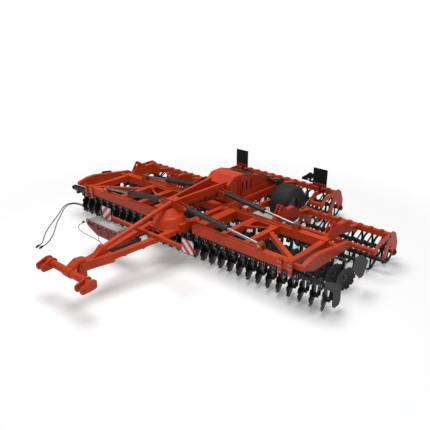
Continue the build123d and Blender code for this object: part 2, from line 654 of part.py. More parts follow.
def tower():
    """Two side walls from the frame to a hooped top, closed by plates across."""
    outline = ((1020, FRAME_TOP), (1060, 1400), (1250, 1550), (1600, 1560), (2180, 1370), (2800, 1110),
               (3100, 1060), (3150, FRAME_TOP))
    wall = side_plate(outline, TOWER_HALF - TOWER_WALL, TOWER_WALL, corner=TOWER_CORNER)
    for y in (1560, 1720, 1880):
        wall -= box(2 * TOWER_WALL, 60, 240, (TOWER_HALF, y, 1240))
    walls = wall + on_side(wall, -1)
    width = 2 * (TOWER_HALF - TOWER_WALL / 2)
    plates = (((1060, 1390), (1250, 1540), PLATE), ((1250, 1535), (1600, 1545), PLATE),
              ((2180, 1350), (2800, 1080), PLATE), ((1045, 1000), (1070, 1380), PLATE),
              ((3100, FRAME_TOP), (3100, 1040), PLATE * 2))
    for (y, z), (y_end, z_end), thick in plates:
        walls += beam((0, y, z), (0, y_end, z_end), width, thick)
    return walls + cross_rod(0, TOWER_Y, 1300, 60, width)


def hinge_fork(y):
    """Two ears on a rail with the pin of a wing's hinge."""
    outer = RAIL_X + RAIL_WIDTH / 2
    offset = HINGE_WIDTH / 2 + SWING_GAP
    outline = ((outer, FRAME_UNDER), (HINGE_X, HINGE_Z - HINGE_RADIUS), (HINGE_X + HINGE_RADIUS, HINGE_Z),
               (HINGE_X, HINGE_Z + HINGE_RADIUS), (outer, HINGE_Z - 10))
    fork = long_rod(HINGE_X, y, HINGE_Z, PIN_RADIUS, 2 * (offset + PLATE))
    for side in (offset, -offset - PLATE):
        fork += cross_plate(outline, y + side, PLATE)
    return fork


# ---- drawbar and hitch --------------------------------------------------------------------------------
def drawbar():
    low = DRAWBAR_Z - NOSE_HALF_HEIGHT
    outline = ((-NOSE_TIP_HALF, NOSE_TIP_Y), (NOSE_TIP_HALF, NOSE_TIP_Y), (NOSE_REAR_HALF, NOSE_REAR_Y),
               (-NOSE_REAR_HALF, NOSE_REAR_Y))
    nose = flat_plate(outline, low, 2 * NOSE_HALF_HEIGHT)
    nose += rod((0, SWIVEL_Y, BARREL_BOTTOM), (0, SWIVEL_Y, BARREL_TOP), SWIVEL_BARREL)
    nose += box(2 * NOSE_TIP_HALF, NOSE_TIP_Y - SWIVEL_Y, 2 * NOSE_HALF_HEIGHT,
                (0, (NOSE_TIP_Y + SWIVEL_Y) / 2, DRAWBAR_Z))
    nose += fin(low + 2 * NOSE_HALF_HEIGHT)
    nose -= rod((0, SWIVEL_Y, 0), (0, SWIVEL_Y, 2 * BARREL_TOP), SWIVEL_RADIUS + RUNNING_GAP)
    save("drawbar_nose", nose)
    post = front_post()
    tubes = []
    for sign in (1, -1):
        tube = beam((sign * 110, NOSE_REAR_Y - 60, DRAWBAR_Z), (sign * (RAIL_X - 30), SHELF_FRONT + 160, DRAWBAR_Z + 90),
                    DRAWBAR_TUBE, DRAWBAR_TUBE)
        tubes.append(tube - nose - post)
    top = rod((0, FIN_PEAK_Y, FIN_TOP - 70), (0, FRONT_BEAM_Y - POST_LENGTH / 2 + 30, POST_TOP - 60), TOP_TUBE_RADIUS)
    save("drawbar_tubes", *tubes, top - nose - post)
    bar = box(2 * CROSSBAR_HALF, CROSSBAR_SIZE, CROSSBAR_SIZE, (0, CROSSBAR_Y, CROSSBAR_Z))
    for tube in tubes:
        bar -= tube
    save("front_crossbar", bar)
    block = box(120, 180, 110, (0, -1420, DRAWBAR_Z + 40))
    strut = rod((0, NOSE_REAR_Y, DRAWBAR_Z + 30), (0, -1420, DRAWBAR_Z + 40), STRUT_RADIUS)
    strut += rod((0, -1420, CROSSBAR_Z - 20), (0, CROSSBAR_Y - CROSSBAR_SIZE / 2, CROSSBAR_Z - 20), STRUT_ROD)
    save("drawbar_strut", block + strut - nose)


def fin(base):
    """Tall rib on the nose with a hollow curved front, the seat of the top tube. It starts inside the nose."""
    foot = base - FIN_ROOT
    tip_y = NOSE_TIP_Y + FIN_ROOT
    edge = ThreePointArc((tip_y, foot), (-2430, base + 50), (FIN_PEAK_Y, FIN_TOP))
    rest = Polyline((FIN_PEAK_Y, FIN_TOP), (FIN_PEAK_Y + 90, FIN_TOP - 15), (NOSE_REAR_Y - FIN_ROOT, foot),
                    (tip_y, foot))
    side = Plane.YZ.offset(-FIN_HALF) * make_face([edge, rest])
    return extrude(side, 2 * FIN_HALF, dir=(1, 0, 0))


def hitch():
    tube = rod((-HITCH_HALF, HITCH_Y, HITCH_Z), (HITCH_HALF, HITCH_Y, HITCH_Z), HITCH_TUBE_RADIUS)
    save("hitch_yoke", yoke() - tube)
    back = HITCH_Y + HITCH_TUBE_RADIUS + 20
    outline = ((HITCH_FRONT_Y, HITCH_PIN_Z - 65), (HITCH_FRONT_Y, HITCH_PIN_Z + 65), (HITCH_Y - 20, HITCH_Z + 100),
               (back, HITCH_Z + 85), (back, HITCH_Z - 85), (HITCH_Y - 60, HITCH_Z - 105))
    for sign in (1, -1):
        for x in (HITCH_HALF, HITCH_HALF - CLEVIS_PLATE - CLEVIS_GAP):
            tube += on_side(side_plate(outline, x - CLEVIS_PLATE, CLEVIS_PLATE, corner=CLEVIS_CORNER), sign)
    tube -= cross_rod(0, HITCH_PIN_Y, HITCH_PIN_Z, HITCH_PIN_RADIUS, 2 * HITCH_HALF + 20)
    save("hitch_crossbar", tube)


def yoke():
    """Sleeve round the crossbar's middle with curved plates that reach over and under the nose's barrel."""
    sleeve = cross_rod(0, HITCH_Y, HITCH_Z, HITCH_TUBE_RADIUS + SLEEVE_WALL, 2 * SLEEVE_HALF)
    top = BARREL_TOP + SWING_GAP
    bottom = BARREL_BOTTOM - SWING_GAP
    over = ((HITCH_Y - 30, HITCH_Z + 60), (HITCH_Y + 40, HITCH_Z + 120), (SWIVEL_Y - 90, top + YOKE_THICK + 12),
            (SWIVEL_Y, top + YOKE_THICK), (SWIVEL_Y, top), (SWIVEL_Y - 110, top), (HITCH_Y + 80, HITCH_Z + 20))
    under = ((HITCH_Y - 30, HITCH_Z - 60), (HITCH_Y + 20, HITCH_Z - 130), (SWIVEL_Y - 100, bottom - YOKE_THICK),
             (SWIVEL_Y, bottom - YOKE_THICK), (SWIVEL_Y, bottom), (SWIVEL_Y - 120, bottom),
             (HITCH_Y + 75, HITCH_Z - 20))
    for outline in (over, under):
        sleeve += side_plate(outline, -YOKE_HALF, 2 * YOKE_HALF)
    for z in (top, bottom - YOKE_THICK):
        sleeve += rod((0, SWIVEL_Y, z), (0, SWIVEL_Y, z + YOKE_THICK), YOKE_HALF + 5)
    return sleeve + rod((0, SWIVEL_Y, bottom), (0, SWIVEL_Y, top), SWIVEL_RADIUS)


# ---- boards, lamp and platform ------------------------------------------------------------------------
def boards():
    face = CROSSBAR_Y - CROSSBAR_SIZE / 2
    pieces = [box(BOARD_WIDTH, BOARD_THICK, BOARD_HEIGHT, (x, face - BOARD_THICK / 2, CROSSBAR_Z + 90))
              for x in (-BOARD_X, BOARD_X)]
    beam_face = sum(CENTRE_ROLLER_Y) / 2 - ROLLER_BEAM / 2
    front = REAR_BOARD_Y + BOARD_THICK
    for x in (-BOARD_X, BOARD_X):
        board = box(REAR_BOARD_WIDTH, BOARD_THICK, REAR_BOARD_HEIGHT,
                    (x, REAR_BOARD_Y + BOARD_THICK / 2, REAR_BOARD_FOOT + REAR_BOARD_HEIGHT / 2))
        foot = box(BOARD_POST, beam_face - front, BOARD_POST, (x, (beam_face + front) / 2, ROLLER_BEAM_Z + 20))
        post = box(BOARD_POST, BOARD_POST, 300, (x, front + BOARD_POST / 2, ROLLER_BEAM_Z + 150))
        pieces.append(board + foot + post)
    save("marker_boards", *pieces)
    reach = BOARD_X - BOARD_POST / 2 - LAMP_X
    level = ROLLER_BEAM_Z + 250
    bracket = box(reach, BOARD_POST, BOARD_POST, (LAMP_X + reach / 2, front + BOARD_POST / 2, level))
    stem = box(BOARD_POST, BOARD_POST, LAMP_Z - level, (LAMP_X + BOARD_POST / 2, front + BOARD_POST / 2, (LAMP_Z + level) / 2))
    head = long_rod(LAMP_X + BOARD_POST / 2, front + BOARD_POST / 2, LAMP_Z, LAMP_RADIUS, 70)
    save("work_lamp", bracket + stem + head)


def platform():
    """Grating on its side bars in front of the crossbar, with a skirt plate below its front edge."""
    width = STEP_INNER_X - STEP_OUTER_X
    middle = (STEP_INNER_X + STEP_OUTER_X) / 2
    back = CROSSBAR_Y - CROSSBAR_SIZE / 2 - BOARD_THICK
    front = back - STEP_DEPTH
    height = 30
    bars = [box(width, STEP_BAR, height, (middle, y, STEP_TOP - height / 2))
            for y in (front + STEP_BAR / 2, front + STEP_DEPTH / 3, front + STEP_DEPTH * 2 / 3, back - STEP_BAR / 2)]
    gap = (width - STEP_BAR) / (STEP_RUNGS - 1)
    for rung in range(STEP_RUNGS):
        x = STEP_OUTER_X + STEP_BAR / 2 + rung * gap
        bars.append(box(STEP_BAR, STEP_DEPTH, height, (x, (front + back) / 2, STEP_TOP - height / 2)))
    save("platform_grating", bars[0].fuse(*bars[1:]))
    top = STEP_TOP
    outer = STEP_OUTER_X - SKIRT_THICK
    inner = STEP_INNER_X + 190
    outline = ((outer, top), (inner, top), (inner, top - SKIRT_HEIGHT + 60), (inner - 60, top - SKIRT_HEIGHT),
               (outer + 330, top - SKIRT_HEIGHT), (outer, top - 130))
    skirt = cross_plate(outline, front - SKIRT_THICK, SKIRT_THICK)
    side = side_plate(((front, top), (back, top), (back, top - 60), (front, top - 130)), outer, SKIRT_THICK)
    shelf_z = top - height - SKIRT_THICK
    shelf = box(inner - outer, STEP_DEPTH + 60, SKIRT_THICK,
                ((inner + outer) / 2, (front + back + 60) / 2, shelf_z + SKIRT_THICK / 2))
    case = box(420, 160, 170, (STEP_INNER_X - 420, (front + back) / 2, shelf_z - 85))
    grip = Pos(outer, front + 20, top - 60) * Rot(90, 0, 0) * Torus(70, 10)
    grip -= box(400, 400, 400, (outer + 200, front, top))
    save("platform_skirt", skirt + side + shelf + case + grip)


# ---- hoses and cable ----------------------------------------------------------------------------------
def cord(name, points, radius):
    """Tube along straight runs joined by arcs as large as the runs allow."""
    route = [Vector(*point) for point in points]
    radii = []
    for before, corner, after in zip(route, route[1:], route[2:]):
        turn = (corner - before).get_angle(after - corner)
        shorter = min((corner - before).length, (after - corner).length)
        radii.append(CORD_ARC_SHARE * shorter / tan(turn / 2 * pi / 180))
    path = FilletPolyline(*route, radius=radii)
    tube = sweep(Plane(origin=path @ 0, z_dir=path % 0) * Circle(radius), path=path)
    print(name, "length", round(path.length), "least radius", round(min(radii)),
          "volume over section", round(tube.volume / (pi * radius ** 2)))
    save(name, tube)


HOSE_UPPER = ((-370, 440, 790), (-370, 440, 560), (-388, 448, 340), (-460, 456, 150), (-640, 452, 40),
              (-880, 440, 11), (-1190, 424, 11), (-1510, 416, 11), (-1830, 414, 11), (-2150, 420, 11),
              (-2470, 430, 11), (-2790, 436, 11), (-3110, 424, 11), (-3400, 380, 11), (-3640, 280, 11),
              (-3850, 160, 11), (-4060, 85, 11), (-4270, 78, 11), (-4440, 10, 11), (-4440, -160, 11),
              (-4310, -350, 11), (-4100, -550, 11), (-3860, -780, 11), (-3610, -1040, 11), (-3330, -1260, 11),
              (-3070, -1480, 11), (-2860, -1700, 11), (-2720, -1880, 11), (-2660, -2020, 11))
HOSE_LOWER = ((-310, 500, 790), (-310, 500, 560), (-328, 508, 340), (-400, 514, 150), (-580, 508, 40),
              (-820, 494, 11), (-1130, 478, 11), (-1450, 468, 11), (-1770, 464, 11), (-2090, 468, 11),
              (-2410, 482, 11), (-2730, 488, 11), (-3050, 482, 11), (-3360, 444, 11), (-3640, 340, 11),
              (-3880, 212, 11), (-4110, 140, 11), (-4330, 128, 11), (-4500, 30, 11), (-4505, -160, 11),
              (-4370, -370, 11), (-4150, -590, 11), (-3920, -850, 11), (-3700, -1110, 11), (-3460, -1390, 11),
              (-3210, -1630, 11), (-2990, -1810, 11), (-2830, -1930, 11), (-2770, -2050, 11))
CABLE = ((-1500, -1290, 590), (-1503, -1288, 500), (-1512, -1280, 410), (-1530, -1262, 320),
         (-1560, -1230, 230), (-1602, -1180, 145), (-1655, -1115, 70), (-1725, -1050, 20), (-1830, -1000, 6),
         (-1980, -968, 6), (-2150, -955, 6), (-2320, -950, 6), (-2490, -946, 6), (-2650, -934, 6),
         (-2800, -905, 6), (-2930, -855, 6), (-3030, -785, 6), (-3090, -705, 6), (-3110, -625, 6))


def hoses():
    """Two hoses and a thin cable laid out on the ground, with the couplings on their ends."""
    cord("hose_upper", HOSE_UPPER, HOSE_RADIUS)
    cord("hose_lower", HOSE_LOWER, HOSE_RADIUS)
    cord("signal_cable", CABLE, CABLE_RADIUS)
    ends = []
    for points in (HOSE_UPPER, HOSE_LOWER):
        start = Vector(*points[-1])
        way = (start - Vector(*points[-2])).normalized()
        lift = Vector(0, 0, COUPLING_RADIUS - HOSE_RADIUS)
        body = rod(start + lift, start + lift + way * COUPLING_LENGTH, COUPLING_RADIUS)
        neck = start + lift + way * COUPLING_LENGTH
        ends.append(body + rod(neck, neck + way * 45, COUPLING_RADIUS * 0.6))
    start = Vector(*CABLE[-1])
    way = (start - Vector(*CABLE[-2])).normalized()
    lift = Vector(0, 0, COUPLING_RADIUS - CABLE_RADIUS)
    ends.append(rod(start + lift, start + lift + way * 90, COUPLING_RADIUS))
    save("cord_couplings", *ends)


# ---- transport wheels ---------------------------------------------------------------------------------
def transport():
    arm = cross_rod(0, WHEEL_PIVOT_Y, WHEEL_PIVOT_Z, PIVOT_RADIUS, 2 * WHEEL_ARM_X)
    for sign in (1, -1):
        x = sign * WHEEL_ARM_X
        arm += beam((x, WHEEL_PIVOT_Y, WHEEL_PIVOT_Z), (x, WHEEL_Y, WHEEL_Z), WHEEL_ARM_WIDTH, WHEEL_ARM_HEIGHT)
        arm += rod((x, WHEEL_Y, WHEEL_Z), (sign * (WHEEL_X + 60), WHEEL_Y, WHEEL_Z), AXLE_RADIUS)
    save("wheel_arm", arm)
    tyre = Cylinder(TYRE_RADIUS, TYRE_WIDTH)
    tyre = fillet(tyre.edges().filter_by(GeomType.CIRCLE), TYRE_SHOULDER) - Cylinder(RIM_RADIUS, TYRE_WIDTH)
    rim = Cylinder(RIM_RADIUS, RIM_WIDTH) - Cylinder(AXLE_RADIUS + RUNNING_GAP, RIM_WIDTH)
    rim -= Pos(0, 0, RIM_WIDTH / 2 - RIM_DISH / 2) * Cylinder(RIM_RADIUS - RIM_LIP, RIM_DISH)
    hub = Pos(0, 0, RIM_WIDTH / 2 - RIM_DISH * 0.75) * Cylinder(WHEEL_HUB_RADIUS, RIM_DISH / 2)
    rim += hub - Cylinder(AXLE_RADIUS + RUNNING_GAP, RIM_WIDTH)
    for side, sign in SIDES:
        spot = Pos(WHEEL_X, WHEEL_Y, WHEEL_Z) * Rot(0, 90, 0)
        save(f"tyre_{side}", on_side(spot * tyre, sign))
        save(f"rim_{side}", on_side(spot * rim, sign))


os.makedirs("parts", exist_ok=True)
disc_rows()
wings()
cylinders()
rollers()
centre_frame()
drawbar()
hitch()
boards()
platform()
hoses()
transport()
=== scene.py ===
# %% [markdown]
# # A trailed folding disc harrow
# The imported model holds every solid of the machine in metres, already in its place. This lesson dresses
# it: it loads the solids, gives each steel, rubber and painted part its finish, and swaps the parts that
# need finer shapes, such as discs, rings and tyres, for meshes made with bmesh operators.

# %% Load the solids
import bpy
import bmesh
import math
from mathutils import Matrix, Vector


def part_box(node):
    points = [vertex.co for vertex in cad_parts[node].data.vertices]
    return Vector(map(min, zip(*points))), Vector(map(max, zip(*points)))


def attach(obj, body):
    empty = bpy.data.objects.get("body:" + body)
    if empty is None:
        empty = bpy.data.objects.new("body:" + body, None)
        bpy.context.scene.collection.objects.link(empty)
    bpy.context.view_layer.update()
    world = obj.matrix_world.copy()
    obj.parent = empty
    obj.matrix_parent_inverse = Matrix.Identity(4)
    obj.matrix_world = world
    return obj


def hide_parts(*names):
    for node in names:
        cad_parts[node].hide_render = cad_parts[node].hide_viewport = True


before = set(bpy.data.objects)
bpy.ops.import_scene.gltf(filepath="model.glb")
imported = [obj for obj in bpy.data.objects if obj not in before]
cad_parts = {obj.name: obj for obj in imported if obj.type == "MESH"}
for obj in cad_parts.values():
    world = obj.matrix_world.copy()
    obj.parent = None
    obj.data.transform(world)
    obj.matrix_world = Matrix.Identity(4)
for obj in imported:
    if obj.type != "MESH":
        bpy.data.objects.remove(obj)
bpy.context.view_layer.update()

# %% [markdown]
# The machine is seen from the front right, a little above it, through a longish lens, as from a ladder
# some twelve metres away. The camera gets that place and turn as plain numbers, because everything else
# in the scene is measured from the ground in metres.

# %% Camera
camera_data = bpy.data.cameras.new("ladder_camera")
camera_data.lens = 45.6
camera = bpy.data.objects.new("ladder_camera", camera_data)
bpy.context.scene.collection.objects.link(camera)
camera.location = (7.906, -8.328, 5.584)
camera.rotation_euler = (math.radians(90 - 22.84), 0.0, math.radians(41.99))
bpy.context.scene.camera = camera
bpy.context.scene.view_settings.view_transform = "Standard"
print("camera stands", round(camera.location.length, 2), "m from the machine's middle")

# %% [markdown]
# Light and surfaces are both described by shader nodes, small boxes joined by links. They could be written
# out in full each time, but the same few steps come back in every finish of this machine, so each step
# gets a helper: a sum, an eased range, the place on the object, a glow and a mix of two shaders.

# %% Node helpers
WHITE = (1.0, 1.0, 1.0, 1.0)


def calculate(tree, operation, *values):
    """Math node. Each value is a number or a socket."""
    node = tree.nodes.new("ShaderNodeMath")
    node.operation = operation
    for socket, value in zip(node.inputs, values):
        if isinstance(value, (int, float)):
            socket.default_value = value
        else:
            tree.links.new(value, socket)
    return node.outputs[0]


def span(tree, value, low, high, to_low=0.0, to_high=1.0):
    """Smooth step of a value from one range to another."""
    node = tree.nodes.new("ShaderNodeMapRange")
    node.interpolation_type = "SMOOTHSTEP"
    node.inputs["From Min"].default_value = low
    node.inputs["From Max"].default_value = high
    node.inputs["To Min"].default_value = to_low
    node.inputs["To Max"].default_value = to_high
    tree.links.new(value, node.inputs["Value"])
    return node.outputs["Result"]


def object_vector(tree):
    """Place on the object, in metres from the origin, so that a pattern stays where it is."""
    return tree.nodes.new("ShaderNodeTexCoord").outputs["Object"]


def glow(tree, kind, colour, strength):
    """Shader of a light of its own: an emission, or a world's background."""
    node = tree.nodes.new(kind)
    node.inputs["Color"].default_value = colour
    node.inputs["Strength"].default_value = strength
    return node.outputs[0]


def mix_shaders(tree, mask, first, second):
    node = tree.nodes.new("ShaderNodeMixShader")
    for value, socket in zip((mask, first, second), node.inputs):
        tree.links.new(value, socket)
    return node.outputs[0]


print("node helpers:", [step.__name__ for step in (calculate, span, object_vector, glow, mix_shaders)])

# %% [markdown]
# A studio floor is a plain pale sheet that runs out of sight. Here it is one large square. Its material
# lights the object as a grey floor would, and only what the camera, a shiny surface or glass sees of it
# is lifted towards white, so that the object's own light stays at a plain level. Far from the machine,
# where no shadow falls, the sheet is seen as white all over, so that it meets the backdrop unseen.

# %% Floor and its finish
FLOOR_GREY = 0.78
FLOOR_LIFT = 0.2
FLOOR_HALF = 60.0
SHADOW_REACH = (4.6, 7.5)


def background_rays(tree):
    """One where a ray comes from the camera, a mirror-like surface or glass."""
    path = tree.nodes.new("ShaderNodeLightPath").outputs
    direct = calculate(tree, "MAXIMUM", path["Is Camera Ray"], path["Is Glossy Ray"])
    return calculate(tree, "MAXIMUM", direct, path["Is Transmission Ray"])


def studio_floor():
    material = bpy.data.materials.new("studio_floor")
    material.use_nodes = True
    tree = material.node_tree
    tree.nodes.clear()
    output = tree.nodes.new("ShaderNodeOutputMaterial")
    diffuse = tree.nodes.new("ShaderNodeBsdfDiffuse")
    diffuse.inputs["Color"].default_value = (FLOOR_GREY, FLOOR_GREY, FLOOR_GREY, 1.0)
    near = tree.nodes.new("ShaderNodeAddShader")
    tree.links.new(diffuse.outputs[0], near.inputs[0])
    tree.links.new(glow(tree, "ShaderNodeEmission", WHITE, FLOOR_LIFT), near.inputs[1])
    distance = tree.nodes.new("ShaderNodeVectorMath")
    distance.operation = "LENGTH"
    tree.links.new(object_vector(tree), distance.inputs[0])
    fade = span(tree, distance.outputs["Value"], *SHADOW_REACH)
    seen = mix_shaders(tree, fade, near.outputs[0], glow(tree, "ShaderNodeEmission", WHITE, 1.0))
    shown = mix_shaders(tree, background_rays(tree), diffuse.outputs[0], seen)
    tree.links.new(shown, output.inputs["Surface"])
    return material


def mesh_object(name, bm, *materials):
    """Object at the origin from a bmesh in its final place, with a slot for each material."""
    mesh = bpy.data.meshes.new(name)
    bm.to_mesh(mesh)
    bm.free()
    for material in materials:
        mesh.materials.append(material)
    piece = bpy.data.objects.new(name, mesh)
    bpy.context.scene.collection.objects.link(piece)
    return piece


sheet = bmesh.new()
bmesh.ops.create_grid(sheet, x_segments=1, y_segments=1, size=FLOOR_HALF)
floor = mesh_object("studio_floor", sheet, studio_floor())
print("floor", tuple(round(v) for v in floor.dimensions))

# %% [markdown]
# Studio light for a large machine is soft and comes mostly from above, so that top faces are bright and
# flanks fall darker. The world is a plain grey dome, and a wide area lamp hangs over the machine. A weaker
# one at the side opens the shadows.

# %% World and lamps
DOME_COLOUR = (0.95, 0.97, 1.0, 1.0)
DOME_STRENGTH = 0.3
LAMP_AIM = Vector((0.0, 0.0, 0.5))
LAMPS = (
    # name, place, width, power
    ("key_lamp", (-0.5, -1.0, 15.0), 9.0, 2080.0),
    ("side_lamp", (8.0, -7.0, 5.0), 5.0, 95.0))

world = bpy.data.worlds.new("studio_dome")
bpy.context.scene.world = world
world.use_nodes = True
dome = world.node_tree
dome.nodes.clear()
camera_rays = dome.nodes.new("ShaderNodeLightPath").outputs["Is Camera Ray"]
soft = glow(dome, "ShaderNodeBackground", DOME_COLOUR, DOME_STRENGTH)
shown = mix_shaders(dome, camera_rays, soft, glow(dome, "ShaderNodeBackground", WHITE, 1.0))
dome.links.new(shown, dome.nodes.new("ShaderNodeOutputWorld").inputs["Surface"])


def area_lamp(name, place, width, power):
    """Square lamp that looks at the middle of the machine."""
    lamp = bpy.data.lights.new(name, "AREA")
    lamp.shape = "SQUARE"
    lamp.size = width
    lamp.energy = power
    holder = bpy.data.objects.new(name, lamp)
    bpy.context.scene.collection.objects.link(holder)
    holder.location = place
    holder.rotation_euler = (LAMP_AIM - Vector(place)).to_track_quat("-Z", "Y").to_euler()


for lamp_values in LAMPS:
    area_lamp(*lamp_values)

# %% [markdown]
# Every finish starts from a few effects that real surfaces share: cloudy paint, fine grain, paint rubbed
# off along edges, dust on what faces the sky and streaks left by sliding. Each is a shader node group made
# once and used by several materials, so that the whole machine weathers in the same way.

# %% Shader groups: grain and edge wear
NOISE_ROUGHNESS = 0.55
EDGE_TURN = (0.02, 0.2)         # how far the rounded normal leaves the face's own
CHIPPED = (0.42, 0.66)          # part of the noise where paint comes off an edge


def shader_group(name, inputs, outputs):
    """Empty group with its sockets. Inputs are (label, kind, value) and outputs (label, kind)."""
    group = bpy.data.node_groups.new(name, "ShaderNodeTree")
    for label, kind, value in inputs:
        socket = group.interface.new_socket(name=label, in_out="INPUT", socket_type=kind)
        socket.default_value = value
    for label, kind in outputs:
        group.interface.new_socket(name=label, in_out="OUTPUT", socket_type=kind)
    return group, group.nodes.new("NodeGroupInput"), group.nodes.new("NodeGroupOutput")


def place_noise(tree, scale, detail):
    """Noise that sits still on the object. scale is a number or a socket, in features to the metre."""
    noise = tree.nodes.new("ShaderNodeTexNoise")
    noise.inputs["Detail"].default_value = detail
    noise.inputs["Roughness"].default_value = NOISE_ROUGHNESS
    tree.links.new(object_vector(tree), noise.inputs["Vector"])
    if isinstance(scale, (int, float)):
        noise.inputs["Scale"].default_value = scale
    else:
        tree.links.new(scale, noise.inputs["Scale"])
    return noise.outputs["Fac"]


def grain_group():
    group, start, end = shader_group(
        "cloud_and_grain",
        [("Cloud Scale", "NodeSocketFloat", 2.0), ("Grain Scale", "NodeSocketFloat", 260.0)],
        [("Cloud", "NodeSocketFloat"), ("Grain", "NodeSocketFloat")])
    group.links.new(place_noise(group, start.outputs["Cloud Scale"], detail=4.0), end.inputs["Cloud"])
    group.links.new(place_noise(group, start.outputs["Grain Scale"], detail=2.0), end.inputs["Grain"])
    return group


def edge_wear_group():
    """High on sharp edges, broken up by noise: a rounded normal is compared with the face's own."""
    group, start, end = shader_group(
        "edge_wear",
        [("Width", "NodeSocketFloat", 0.004), ("Amount", "NodeSocketFloat", 0.5)],
        [("Mask", "NodeSocketFloat")])
    rounded = group.nodes.new("ShaderNodeBevel")
    rounded.samples = 4
    group.links.new(start.outputs["Width"], rounded.inputs["Radius"])
    own = group.nodes.new("ShaderNodeNewGeometry")
    compare = group.nodes.new("ShaderNodeVectorMath")
    compare.operation = "DOT_PRODUCT"
    group.links.new(rounded.outputs["Normal"], compare.inputs[0])
    group.links.new(own.outputs["Normal"], compare.inputs[1])
    turned_away = calculate(group, "SUBTRACT", 1.0, compare.outputs["Value"])
    edge = span(group, turned_away, *EDGE_TURN)
    patches = span(group, place_noise(group, 9.0, detail=6.0), *CHIPPED)
    broken = calculate(group, "MULTIPLY", edge, patches)
    group.links.new(calculate(group, "MULTIPLY", broken, start.outputs["Amount"]), end.inputs["Mask"])
    return group


CLOUD_AND_GRAIN = grain_group()
EDGE_WEAR = edge_wear_group()
print("groups", [g.name for g in bpy.data.node_groups])

# %% [markdown]
# Dust falls from above and stays on level faces in soft patches. Sliding surfaces and rolled steel show
# long fine streaks in one direction. Both could be painted by hand, but a face's own direction and a
# stretched noise give them on any shape.

# %% Shader groups: dust and streaks
FACING_UP = (0.2, 1.0)          # upward part of the normal, from no dust to full dust
DUST_PATCHES = (0.35, 0.75)
STREAK_STRETCH = 0.02


def dust_group():
    group, start, end = shader_group(
        "settled_dust",
        [("Amount", "NodeSocketFloat", 0.2), ("Patch Scale", "NodeSocketFloat", 5.0)],
        [("Mask", "NodeSocketFloat")])
    own = group.nodes.new("ShaderNodeNewGeometry")
    parts = group.nodes.new("ShaderNodeSeparateXYZ")
    group.links.new(own.outputs["Normal"], parts.inputs[0])
    upward = span(group, parts.outputs["Z"], *FACING_UP)
    patchy = span(group, place_noise(group, start.outputs["Patch Scale"], detail=5.0), *DUST_PATCHES)
    settled = calculate(group, "MULTIPLY", upward, patchy)
    group.links.new(calculate(group, "MULTIPLY", settled, start.outputs["Amount"]), end.inputs["Mask"])
    return group


def streak_group():
    """Noise drawn out along X."""
    group, start, end = shader_group(
        "fine_streaks",
        [("Vector", "NodeSocketVector", (0.0, 0.0, 0.0)), ("Scale", "NodeSocketFloat", 300.0)],
        [("Streaks", "NodeSocketFloat")])
    stretch = group.nodes.new("ShaderNodeMapping")
    stretch.inputs["Scale"].default_value = (STREAK_STRETCH, 1.0, 1.0)
    noise = group.nodes.new("ShaderNodeTexNoise")
    noise.inputs["Detail"].default_value = 3.0
    group.links.new(start.outputs["Vector"], stretch.inputs["Vector"])
    group.links.new(stretch.outputs["Vector"], noise.inputs["Vector"])
    group.links.new(start.outputs["Scale"], noise.inputs["Scale"])
    group.links.new(noise.outputs["Fac"], end.inputs["Streaks"])
    return group


SETTLED_DUST = dust_group()
FINE_STREAKS = streak_group()
print("groups", [g.name for g in bpy.data.node_groups])

# %% [markdown]
# A finish is a shader with its colours led through those groups. The helpers below start a material,
# place a group in it, mix two colours by a mask, lay dust over a colour and raise a fine relief, and
# every paint, metal and rubber of the machine uses them.

# %% Steps of a finish
DUST_COLOUR = (0.36, 0.31, 0.26)
MOST_NOISE = (0.3, 0.7)         # range that nearly all values of a noise lie in


def new_material(name):
    """Material with its shader and output, and its node tree."""
    material = bpy.data.materials.new(name)
    material.use_nodes = True
    tree = material.node_tree
    tree.nodes.clear()
    output = tree.nodes.new("ShaderNodeOutputMaterial")
    shader = tree.nodes.new("ShaderNodeBsdfPrincipled")
    tree.links.new(shader.outputs["BSDF"], output.inputs["Surface"])
    return material, tree, shader


def use_group(tree, group, **values):
    node = tree.nodes.new("ShaderNodeGroup")
    node.node_tree = group
    for label, value in values.items():
        node.inputs[label.replace("_", " ")].default_value = value
    return node


def mix_colour(tree, mask, first, second):
    """Colour mix. The colours are numbers or sockets."""
    node = tree.nodes.new("ShaderNodeMix")
    node.data_type = "RGBA"
    tree.links.new(mask, node.inputs["Factor"])
    for socket, value in ((node.inputs[6], first), (node.inputs[7], second)):
        if isinstance(value, tuple):
            socket.default_value = (*value, 1.0)
        else:
            tree.links.new(value, socket)
    return node.outputs[2]


def cloudy(tree, grain, colour, darkest, palest):
    """Colour that drifts between a darker and a paler tone of itself."""
    tones = [tuple(min(1.0, part * factor) for part in colour) for factor in (darkest, palest)]
    return mix_colour(tree, span(tree, grain.outputs["Cloud"], *MOST_NOISE), *tones)


def lay_dust(tree, shader, colour, amount, patch_scale):
    """Gives the shader a colour with dust over it, and returns the dust's mask."""
    settled = use_group(tree, SETTLED_DUST, Amount=amount, Patch_Scale=patch_scale).outputs["Mask"]
    tree.links.new(mix_colour(tree, settled, colour, DUST_COLOUR), shader.inputs["Base Color"])
    return settled


def bump(tree, shader, height, strength, distance):
    node = tree.nodes.new("ShaderNodeBump")
    node.inputs["Strength"].default_value = strength
    node.inputs["Distance"].default_value = distance
    tree.links.new(height, node.inputs["Height"])
    tree.links.new(node.outputs["Normal"], shader.inputs["Normal"])


print("dust is", DUST_COLOUR)

# %% [markdown]
# Paint on farm machinery is a thick coat with a soft gloss, sprayed on welded steel. Seen close it has a
# faint orange peel, it is a little paler or darker from panel to panel, and its edges rub through to a
# dull primer. One function mixes all of this for any colour, so the red frame, the black arms, the grey
# barrels and the lacquer of the discs differ only in their colours and amounts.

# %% Painted steel
PRIMER = (0.23, 0.2, 0.18)


